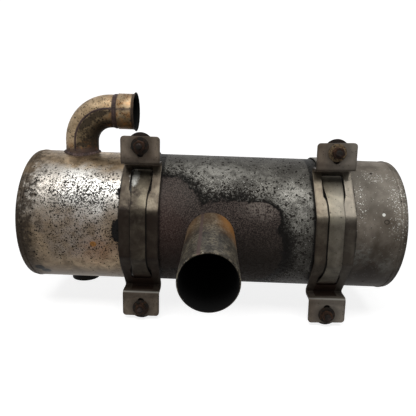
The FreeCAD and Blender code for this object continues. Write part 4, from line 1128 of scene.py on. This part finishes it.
class MUFFLER_OT_drum(bpy.types.Operator):
    """Make the drum's shell with its lengthwise weld"""
    bl_idname = "muffler.drum"
    bl_label = "Drum shell"

    def execute(self, context):
        sizes, outlet = context.scene.muffler_drum, context.scene.muffler_outlet
        skin = make_drum_skin(sizes, outlet)
        solidify(skin, sizes.wall)
        finish_piece(skin, "drum_sheet", "drum_steel", "shell")
        margin, sunk = 0.004, 0.0002
        x = np.linspace(margin - sizes.joint, sizes.joint - margin, 700)
        centre = together(x, sizes.radius - sunk, 0)
        line = centre, np.broadcast_to((0, 1, 0), centre.shape), np.broadcast_to(UP, centre.shape)
        weld("drum_seam_bead", "shell_seam_weld", line, sizes.seam_width, sizes.seam_height + sunk,
             pitch=0.0030, seed=3, closed=False)
        return {"FINISHED"}


class MUFFLER_OT_caps(bpy.types.Operator):
    """Make the two end caps and their welds"""
    bl_idname = "muffler.caps"
    bl_label = "End caps"

    def execute(self, context):
        sizes = context.scene.muffler_drum
        along, radius = cap_profile(sizes).T
        sunk = 0.0003
        for side, sign in (("left", -1), ("right", 1)):
            grid = turned(along, radius, ORIGIN, (sign, 0, 0), FORWARD, steps=160)
            finish_piece(piece("cap_" + side, [grid], sharp=50), "drum_sheet", "drum_steel",
                         "end_cap_" + side)
            line = ring_line((sign * sizes.joint, 0, 0), sizes.radius - sunk, RIGHT, UP, steps=720)
            weld("cap_bead_" + side, "end_weld_" + side, line, sizes.bead_width,
                 sizes.bead_height + sunk, pitch=0.0032, seed=11 + sign, material="drum_sheet")
        return {"FINISHED"}


# Outlet


def mouth(end, outer, wall):
    """A half circle over a pipe's mouth, from its outside to its inside."""
    t = np.linspace(0, math.pi, 9)
    half = wall / 2
    return together(end - half + half * np.sin(t), outer - half + half * np.cos(t))


class MUFFLER_OT_outlet(bpy.types.Operator):
    """Make the outlet stub and the weld at its root"""
    bl_idname = "muffler.outlet"
    bl_label = "Outlet stub"

    def execute(self, context):
        sizes, drum = context.scene.muffler_outlet, context.scene.muffler_drum
        along = np.linspace(-sizes.past_axis, sizes.mouth - sizes.wall / 2, 60)[:-1]
        profile = np.concatenate([
            together(along, sizes.radius), mouth(sizes.mouth, sizes.radius, sizes.wall),
            together(along[::-1], sizes.radius - sizes.wall)])
        grid = turned(*profile.T, ORIGIN, FORWARD, RIGHT, steps=144)
        finish_piece(piece("outlet_stub", [grid], sharp=60), "outlet_sheet", "pipe_steel", "outlet_pipe")
        line = root_line(0, sizes.radius + WELD_OFFSET, drum.radius, steps=540)
        weld("outlet_root_bead", "outlet_weld", [way @ UP_TO_FORWARD for way in line],
             sizes.bead_width, sizes.bead_height, pitch=0.0034, seed=21, material="drum_sheet")
        return {"FINISHED"}


# Inlet


def elbow_line(sizes, start, end, step_length, shift=0.0):
    """The elbow's middle line in its own plane, with the direction to the bend's outside."""
    top, corner_x = sizes.axis_height + shift, sizes.station - shift
    corners = [(corner_x, start), (corner_x, top), (end, top)]
    line, _ = rounded_path(corners, [sizes.bend + shift], step_length)
    along = unit(np.gradient(line, axis=0))
    return together(line[:, 0], 0, line[:, 1]), together(-along[:, 1], 0, along[:, 0])


def collar_profile(sizes):
    """Round the collar's wall: its edge, the flare outside, the lip, and the flare inside."""
    start, inner = sizes.collar_start, sizes.collar_inner
    outer, corner = inner + sizes.collar_wall, 0.0004
    s = np.linspace(0, 1, 12)[:-1]
    flare_x = sizes.mouth - sizes.flare_length * (1 - s)
    flare = sizes.flare_height * s * s
    return np.concatenate([
        [(start, inner), (start, outer - corner), (start + corner, outer)],
        together(flare_x, outer + flare),
        mouth(sizes.mouth, outer + sizes.flare_height, sizes.collar_wall),
        together(flare_x, inner + flare)[::-1]])


class MUFFLER_OT_inlet(bpy.types.Operator):
    """Make the inlet elbow, its collar and their welds"""
    bl_idname = "muffler.inlet"
    bl_label = "Inlet elbow"

    def execute(self, context):
        sizes, drum = context.scene.muffler_inlet, context.scene.muffler_drum
        line, outward = elbow_line(sizes, sizes.foot, sizes.end, 0.001)
        t = angles(96)
        spread = np.cos(t)[:, None] * outward[:, None] + np.sin(t)[:, None] * np.array(FORWARD)
        grid = np.concatenate([line[:, None] + sizes.radius * spread,
                               (line[:, None] + (sizes.radius - sizes.wall) * spread)[::-1]])
        marks = {"outward": np.broadcast_to(np.cos(t), grid.shape[:2])}
        finish_piece(piece("inlet_elbow", [grid], marks=marks, sharp=60), "elbow_sheet", "pipe_steel",
                     "inlet_elbow_outer_half", "inlet_elbow_inner_half")

        rise, reach = math.sin(sizes.seam_turn), math.cos(sizes.seam_turn)
        middle, upward = elbow_line(sizes, drum.radius + 0.003, sizes.collar_start - 0.004, 0.0004,
                                    sizes.radius * rise)
        for side, sign in (("front", -1), ("back", 1)):
            sideways = np.array([0, sign, 0])
            centre = middle + sideways * (sizes.radius * reach - WELD_OFFSET)
            out = upward * rise + sideways * reach
            line = centre, out, np.cross(unit(np.gradient(centre, axis=0)), out)
            weld("elbow_seam_" + side, "elbow_seam_weld_" + side, line, sizes.seam_bead, height=0.0008,
                 pitch=0.0022, seed=31, closed=False)

        axis = (0, 0, sizes.axis_height)
        grid = turned(*collar_profile(sizes).T, axis, RIGHT, UP, steps=128)
        marks = {"outward": np.ones(grid.shape[:2])}
        finish_piece(piece("inlet_collar_skin", [grid], marks=marks, sharp=50), "elbow_sheet",
                     "pipe_steel", "inlet_collar")
        line = ring_line((sizes.collar_start - sizes.collar_bead, 0, sizes.axis_height), sizes.radius,
                         RIGHT, UP, steps=360)
        weld("collar_bead", "collar_weld", line, sizes.collar_bead, sizes.collar_bead_height,
             pitch=0.0030, seed=41)
        line = root_line(sizes.station, sizes.radius + WELD_OFFSET, drum.radius, steps=420)
        weld("inlet_base_bead", "inlet_base_weld", line, sizes.base_bead_width, sizes.base_bead_height,
             pitch=0.0034, seed=51)
        return {"FINISHED"}


# Drain


def hexagon_radius(steps, across_flats):
    """The radius of a hexagon in each direction of a full turn."""
    t = angles(steps)
    return across_flats / 2 / np.cos((t + math.pi / 6) % (math.pi / 3) - math.pi / 6)


def rows_of(rows, steps):
    """Rings of radii stacked: each row is one number, a ring of numbers or several rings."""
    return np.concatenate([np.broadcast_to(row, (len(row) if np.ndim(row) == 2 else 1, steps))
                           for row in rows])


class MUFFLER_OT_drain(bpy.types.Operator):
    """Make the drain boss and its screwed plug"""
    bl_idname = "muffler.drain"
    bl_label = "Drain boss"

    def execute(self, context):
        sizes = context.scene.muffler_drain
        edge = sizes.edge
        height = sizes.top - sizes.bottom
        profile = np.array([
            (0, sizes.bore), (0, sizes.radius), (height - edge, sizes.radius),
            (height - edge * 0.3, sizes.radius - edge * 0.3), (height, sizes.radius - edge),
            (height, sizes.bore + edge), (height - edge, sizes.bore)])
        base = (sizes.station, 0, sizes.top)
        boss = piece("drain_boss_body", [turned(*profile.T, base, DOWN, RIGHT, steps=128)], sharp=30)
        finish_piece(boss, "boss_crust", "boss_steel", "drain_boss")

        steps = 96
        depth = sizes.top - sizes.plug_bottom
        socket, floor = hexagon_radius(steps, sizes.socket), depth - sizes.socket_depth
        rim = sizes.plug_radius
        along = np.array([0, 0, depth - edge, depth, depth, depth, depth - edge / 2, floor, floor])
        radius = rows_of([0, rim, rim, rim - edge, rim - 2 * edge, socket + edge / 2, socket, socket, 0],
                         steps)
        grid = turned(along, radius, base, DOWN, RIGHT, steps)
        plug = piece("drain_plug_body", [grid], wrap_rows=False, sharp=30)
        finish_piece(plug, "rusted_bolts", "boss_steel", "drain_plug")
        return {"FINISHED"}


# Clamps


def seated(points, station, skew):
    """Points of a clamp moved to its station and tilted about the axis that faces forward."""
    x, y, z = points[..., 0], points[..., 1], points[..., 2]
    c, s = math.cos(skew), math.sin(skew)
    return together(station + x * c - z * s, y, x * s + z * c)


def round_box(u, v, half_u, half_v, radius):
    """Signed distance to a rectangle with round corners: below zero inside it."""
    away_u, away_v = np.abs(u) - half_u + radius, np.abs(v) - half_v + radius
    outside = np.hypot(np.maximum(away_u, 0), np.maximum(away_v, 0))
    return outside + np.minimum(np.maximum(away_u, away_v), 0) - radius


def slide_to_outline(u, v, distance, chosen):
    """Move chosen points of a flat pattern along the slope of a distance onto its zero line."""
    tiny = 1e-6
    for _ in range(3):
        here = distance(u, v)
        slope_u = (distance(u + tiny, v) - distance(u - tiny, v)) / (2 * tiny)
        slope_v = (distance(u, v + tiny) - distance(u, v - tiny)) / (2 * tiny)
        scale = np.where(chosen, here / np.maximum(slope_u ** 2 + slope_v ** 2, 1e-3), 0.0)
        u, v = u - scale * slope_u, v - scale * slope_v
    return u, v


def saddle_sheet(sizes):
    """The folded strip's front face. Along the strip, u follows a path of straight runs and folds;
    v runs across it. Cells inside a window or a slot are left out, and the points at each outline
    slide onto it."""
    fold, front = sizes.fold, sizes.front
    root = (front - sizes.flange_height * math.sin(fold)) / math.cos(fold)
    kink = front * math.tan(fold / 2)
    upper = [(front, kink), (root, sizes.flange_height), (sizes.ear_depth, sizes.flange_height),
             (sizes.ear_depth, sizes.ear_reach)]
    lower = [(out, -up) for out, up in upper[::-1]]
    corners = np.array(lower + upper)
    radii = [sizes.wide_fold, sizes.tight_fold, sizes.wing_fold]
    line, run = rounded_path(corners, radii + radii[::-1], sizes.cell)
    total = run[-1]
    run = run - total / 2
    columns = int(round(sizes.width / sizes.cell)) + 1
    u, v = np.meshgrid(run, np.linspace(-sizes.width / 2, sizes.width / 2, columns), indexing="ij")

    climb, climb_run = line[run > 0, 1], run[run > 0]
    top = int(np.argmax(climb > sizes.flange_height - 1e-4))
    heights = (sizes.window_start, sizes.window_upper_end, sizes.window_lower_end)
    window_low, upper_end, lower_end = np.interp(heights, climb[:top], climb_run[:top])
    ear_end = total / 2
    slot_low = ear_end - (sizes.ear_reach - sizes.slot_low)
    slot_high = ear_end - (sizes.ear_reach - sizes.slot_high)

    def windows(u, v):
        end = np.where(u > 0, upper_end, lower_end)
        middle, half = (window_low + end) / 2, (end - window_low) / 2
        return round_box(np.abs(u) - middle, v, half, sizes.window_width / 2, sizes.window_corner)

    def slots(u, v):
        middle, half = (slot_low + slot_high) / 2, (slot_high - slot_low) / 2
        width = sizes.slot_width / 2
        return round_box(np.abs(u) - middle, v, half + width, width, width * 0.999)

    def outline(u, v):
        return -round_box(u, v, ear_end, sizes.width / 2, sizes.ear_corner)

    faces = grid_faces(*u.shape, False, False)
    for distance in (outline, windows, slots):
        outside = distance(u.ravel()[faces].mean(axis=1), v.ravel()[faces].mean(axis=1)) < 0
        kept, dropped = np.zeros(u.size, bool), np.zeros(u.size, bool)
        kept[faces[~outside]] = True
        dropped[faces[outside]] = True
        beyond = distance(u, v).ravel() < -1e-6
        u, v = slide_to_outline(u, v, distance, (kept & (dropped | beyond)).reshape(u.shape))
        faces = faces[~outside]
    out = np.interp(u, run, line[:, 0])
    up = np.interp(u, run, line[:, 1])
    points = together(v, -out, up)
    return points.reshape(-1, 3), faces[:, ::-1], {"along": u, "across": v}


def band_sheet(sizes):
    """The strap's outer face: its radius is the smallest of the drum's circle and the saddle's
    flats, softened, at each angle; its half width narrows to the waist in front."""
    a = np.linspace(-math.pi, math.pi, 481)[:-1]
    lift = sizes.wall
    fold = math.radians(36)
    flats = [(0.0, sizes.on_saddle), (fold, sizes.on_saddle), (-fold, sizes.on_saddle),
             (sizes.dive, sizes.on_drum), (-sizes.dive, sizes.on_drum)]
    soften = sizes.soften
    total = np.zeros_like(a)
    for turn, distance in flats:
        lean = np.cos(np.clip(a - turn, -1.2, 1.2))
        total += np.exp(-(distance + lift) / lean / soften)
    flat_radius = -soften * np.log(total)
    circle = np.full_like(a, sizes.on_drum + lift)
    radius = np.where(np.abs(a) < sizes.dive, np.maximum(flat_radius, circle), circle)
    height = radius * np.sin(a)
    inner, outer = sizes.waist / 2, sizes.width / 2
    s = np.clip((np.abs(height) - sizes.waist_height / 2) / sizes.taper, 0, 1)
    half = np.where(np.abs(a) < math.pi / 2, inner + (outer - inner) * smooth(s), outer)
    v = np.linspace(-1, 1, 13)
    x = half[:, None] * v[None]
    points = together(x, (-radius * np.cos(a))[:, None], height[:, None])
    return points, {"along": np.broadcast_to((a * sizes.on_drum)[:, None], x.shape), "across": x}


class MUFFLER_OT_clamps(bpy.types.Operator):
    """Make the two folded saddles and the two straps"""
    bl_idname = "muffler.clamps"
    bl_label = "Clamps"

    def execute(self, context):
        clamp, strap = context.scene.muffler_clamp, context.scene.muffler_band
        points, faces, marks = saddle_sheet(clamp)
        band_points, band_marks = band_sheet(strap)
        for side, station, skew in clamp_seats():
            saddle = piece_from_faces("saddle_strip_" + side, seated(points, station, skew), faces,
                                      marks, closed=False, sharp=80)
            solidify(saddle, clamp.wall)
            soften_edges(saddle, 0.0006, 3)
            finish_piece(saddle, "ear_steel", "clamp_steel", "saddle_" + side)
            strip = piece("strap_" + side, [seated(band_points, station, skew)], wrap_columns=False,
                          marks=band_marks, closed=False, sharp=80)
            solidify(strip, strap.wall)
            soften_edges(strip, 0.0003, 2)
            finish_piece(strip, "strap_steel", "clamp_steel", "band_" + side)
        return {"FINISHED"}


# Fasteners


def nut_grid(across_flats, height, bore, steps=72):
    """A hexagon nut: its radius is the smaller of the hexagon's and of two chamfer cones."""
    flats = hexagon_radius(steps, across_flats)
    along = np.linspace(0, height, 15)
    cone = across_flats / 2 * 0.97 + np.minimum(along, height - along)[:, None] * CHAMFER_SLOPE
    wall = np.minimum(flats[None], cone)
    chamfer = 0.0005
    rows = np.concatenate([[0, 0], along, [height, height, height - chamfer, chamfer]])
    return rows, rows_of([bore + chamfer, wall[:1] * 0.96, wall, wall[-1:] * 0.96, bore + chamfer, bore,
                          bore], steps)


def washer_profile(outer, inner, wall):
    """Round a washer's section, with its outer edges rounded."""
    edge = wall * 0.35
    return np.array([(0, inner), (0, outer - edge), (edge * 0.3, outer - edge * 0.3), (edge, outer),
                     (wall - edge, outer), (wall - edge * 0.3, outer - edge * 0.3),
                     (wall, outer - edge), (wall, inner + edge * 0.6), (wall - edge * 0.6, inner)])


def bolt_grid(sizes, steps=48):
    """A bolt from its head's outer face to its tip. Behind, a chamfered hexagon; in front, a shank
    whose radius falls by a triangle wave of (along / pitch - turn)."""
    head, shank = sizes.head_height, sizes.tip - sizes.seat
    flats = hexagon_radius(steps, sizes.hexagon)
    along = np.linspace(-head, 0, 9)
    cone = sizes.hexagon / 2 * 0.95 + (along + head)[:, None] * CHAMFER_SLOPE
    head_wall = np.minimum(flats[None], cone)
    pitch = sizes.thread_pitch
    thread_end = shank - 0.0004
    run = np.arange(0.0003, thread_end, pitch / 6)
    turn = np.arange(steps) / steps
    wave = np.abs(((run[:, None] / pitch - turn[None]) % 1) * 2 - 1)
    fade = np.clip((thread_end - run) / (pitch * 1.2), 0, 1)[:, None]
    outer = sizes.thread_radius * (0.86 + 0.14 * np.sqrt(fade))
    thread = outer - sizes.thread_depth * wave
    tip = sizes.thread_radius * 0.72
    rows = np.concatenate([[-head], along, [0.0], run, [shank - 0.0001, shank, shank]])
    return rows, rows_of([0, head_wall, sizes.thread_radius, thread, tip, tip * 0.9, 0], steps)


class MUFFLER_OT_fasteners(bpy.types.Operator):
    """Make the bolts, nuts and washers of the four ears"""
    bl_idname = "muffler.fasteners"
    bl_label = "Fasteners"

    def execute(self, context):
        sizes, clamp = context.scene.muffler_fastener, context.scene.muffler_clamp
        places = []
        turns = iter(np.radians([12, 47, 80, 23]))
        for _, station, skew in clamp_seats():
            for sign in (1, -1):
                turn = next(turns)
                places.append((station - sign * sizes.height * math.sin(skew),
                               sign * sizes.height * math.cos(skew),
                               (math.cos(turn), 0, math.sin(turn))))
        nut = nut_grid(sizes.hexagon, sizes.nut_height, sizes.thread_radius * 0.95)
        washer = washer_profile(sizes.washer_radius, sizes.hole, sizes.washer_wall).T
        backing = washer_profile(sizes.backing_radius, sizes.hole, sizes.backing_wall).T
        kinds = (("bolts", "clamp_bolts", bolt_grid(sizes), sizes.seat, 48),
                 ("nuts", "clamp_nuts", nut, clamp.ear_depth + sizes.washer_wall, 72),
                 ("washers", "clamp_washers", washer, clamp.ear_depth, 96),
                 ("backing", "backing_washers", backing, sizes.seat, 96))
        for kind, node_name, (along, radius), seat, steps in kinds:
            grids = [turned(along, radius, (x, -seat, z), FORWARD, across, steps)
                     for x, z, across in places]
            item = piece("ear_" + kind, grids, wrap_rows=kind != "bolts", sharp=28)
            finish_piece(item, "rusted_" + kind, "rusted_steel", node_name)
        return {"FINISHED"}


class MUFFLER_OT_inside(bpy.types.Operator):
    """Give the baffles and the inner tubes their finish"""
    bl_idname = "muffler.inside"
    bl_label = "Inner pieces"

    def execute(self, context):
        for name in ("baffle_left", "baffle_right", "transfer_tube", "return_tube"):
            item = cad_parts[name]
            item.data.materials.clear()
            item.data.materials.append(bpy.data.materials["inner_sheet"])
        return {"FINISHED"}


# Studio


def seen_rays(tree):
    """One for rays from the camera and for what metal or glass shows, nought for lighting rays."""
    rays = node("LightPath", {}, tree)
    return highest(rays["Is Camera Ray"], rays["Is Glossy Ray"], rays["Is Transmission Ray"])


class MUFFLER_OT_studio(bpy.types.Operator):
    """Make the floor, the lights, the surroundings and the camera"""
    bl_idname = "muffler.studio"
    bl_label = "Studio"

    def execute(self, context):
        scene = context.scene
        sizes, colours = scene.muffler_studio, scene.muffler_colours
        shader, vector = new_material("floor_paint")
        clouds = cloudy(vector, 3.0, 0.8)
        pale = tuple(channel * 0.97 for channel in colours.floor[:3]) + (1.0,)
        paint(shader, base=blend(clouds["Mask"], pale, colours.floor), rough=0.8)
        shader["Emission Color"].default_value = (1, 1, 1, 1)
        far = node("VectorMath", {0: vector}, operation="LENGTH")["Value"]
        glow = seen_rays(vector.tree) * mix(step(far, 0.4, 1.5), sizes.floor_glow, 1.0)
        give(shader["Emission Strength"], glow)

        reach, height = sizes.floor_reach, sizes.floor_height
        line, _ = rounded_path([(-reach, height), (reach, height), (reach, height + 3)], [1.2], 0.1)
        x = np.linspace(-reach, reach, 31)
        grid = together(x[None], line[:, :1], line[:, 1:])
        floor = piece("studio_floor", [grid], wrap_rows=False, wrap_columns=False, closed=False, sharp=80)
        floor.data.materials.append(bpy.data.materials["floor_paint"])

        lamps = (
            ("key_light", (-0.05, -0.55, 1.0), (29, 0, 0), 1.3, 0.55, sizes.key_power),
            ("front_light", (-0.5, -1.4, 0.5), (72, 0, -20), 0.9, 0.9, sizes.fill_power),
        )
        for name, place, turn, wide, deep, power in lamps:
            light = bpy.data.lights.new(name, "AREA")
            light.shape = "RECTANGLE"
            light.size, light.size_y, light.energy = wide, deep, power
            item = bpy.data.objects.new(name, light)
            item.location = place
            item.rotation_euler = Euler([math.radians(value) for value in turn])
            scene.collection.objects.link(item)

        world = bpy.data.worlds.new("surroundings")
        world.use_nodes = True
        background = world.node_tree.nodes["Background"].inputs
        background["Color"].default_value = (1, 1, 1, 1)
        give(background["Strength"], mix(seen_rays(world.node_tree), sizes.world_level, 1.0))
        scene.world = world

        camera = bpy.data.cameras.new("camera")
        camera.lens, camera.sensor_width = sizes.lens, 36
        camera.clip_start, camera.clip_end = 0.01, 50
        item = bpy.data.objects.new("camera", camera)
        item.location = sizes.place
        item.rotation_euler = Euler(sizes.turn)
        scene.collection.objects.link(item)
        scene.camera = item
        scene.view_settings.view_transform = "Standard"
        return {"FINISHED"}


STEPS = (MUFFLER_OT_finishes, MUFFLER_OT_drum, MUFFLER_OT_caps, MUFFLER_OT_outlet, MUFFLER_OT_inlet,
         MUFFLER_OT_drain, MUFFLER_OT_clamps, MUFFLER_OT_fasteners, MUFFLER_OT_inside,
         MUFFLER_OT_studio)


class MUFFLER_PT_steps(bpy.types.Panel):
    """The muffler's pieces, in the order in which they are made"""
    bl_idname = "MUFFLER_PT_steps"
    bl_label = "Muffler"
    bl_space_type = "VIEW_3D"
    bl_region_type = "UI"
    bl_category = "Muffler"

    def draw(self, context):
        for operator in STEPS:
            self.layout.operator(operator.bl_idname)


CLASSES = (*GROUPS.values(), *STEPS, MUFFLER_PT_steps)


def register():
    for item in CLASSES:
        bpy.utils.register_class(item)
    for name, group in GROUPS.items():
        setattr(bpy.types.Scene, name, bpy.props.PointerProperty(type=group))


def unregister():
    for name in GROUPS:
        delattr(bpy.types.Scene, name)
    for item in reversed(CLASSES):
        bpy.utils.unregister_class(item)


def main():
    """Register, and make every piece in order."""
    register()
    for operator in STEPS:
        name = operator.bl_idname.split(".")[1]
        getattr(bpy.ops.muffler, name)()
    bpy.context.view_layer.update()


if __name__ == "__main__":
    main()
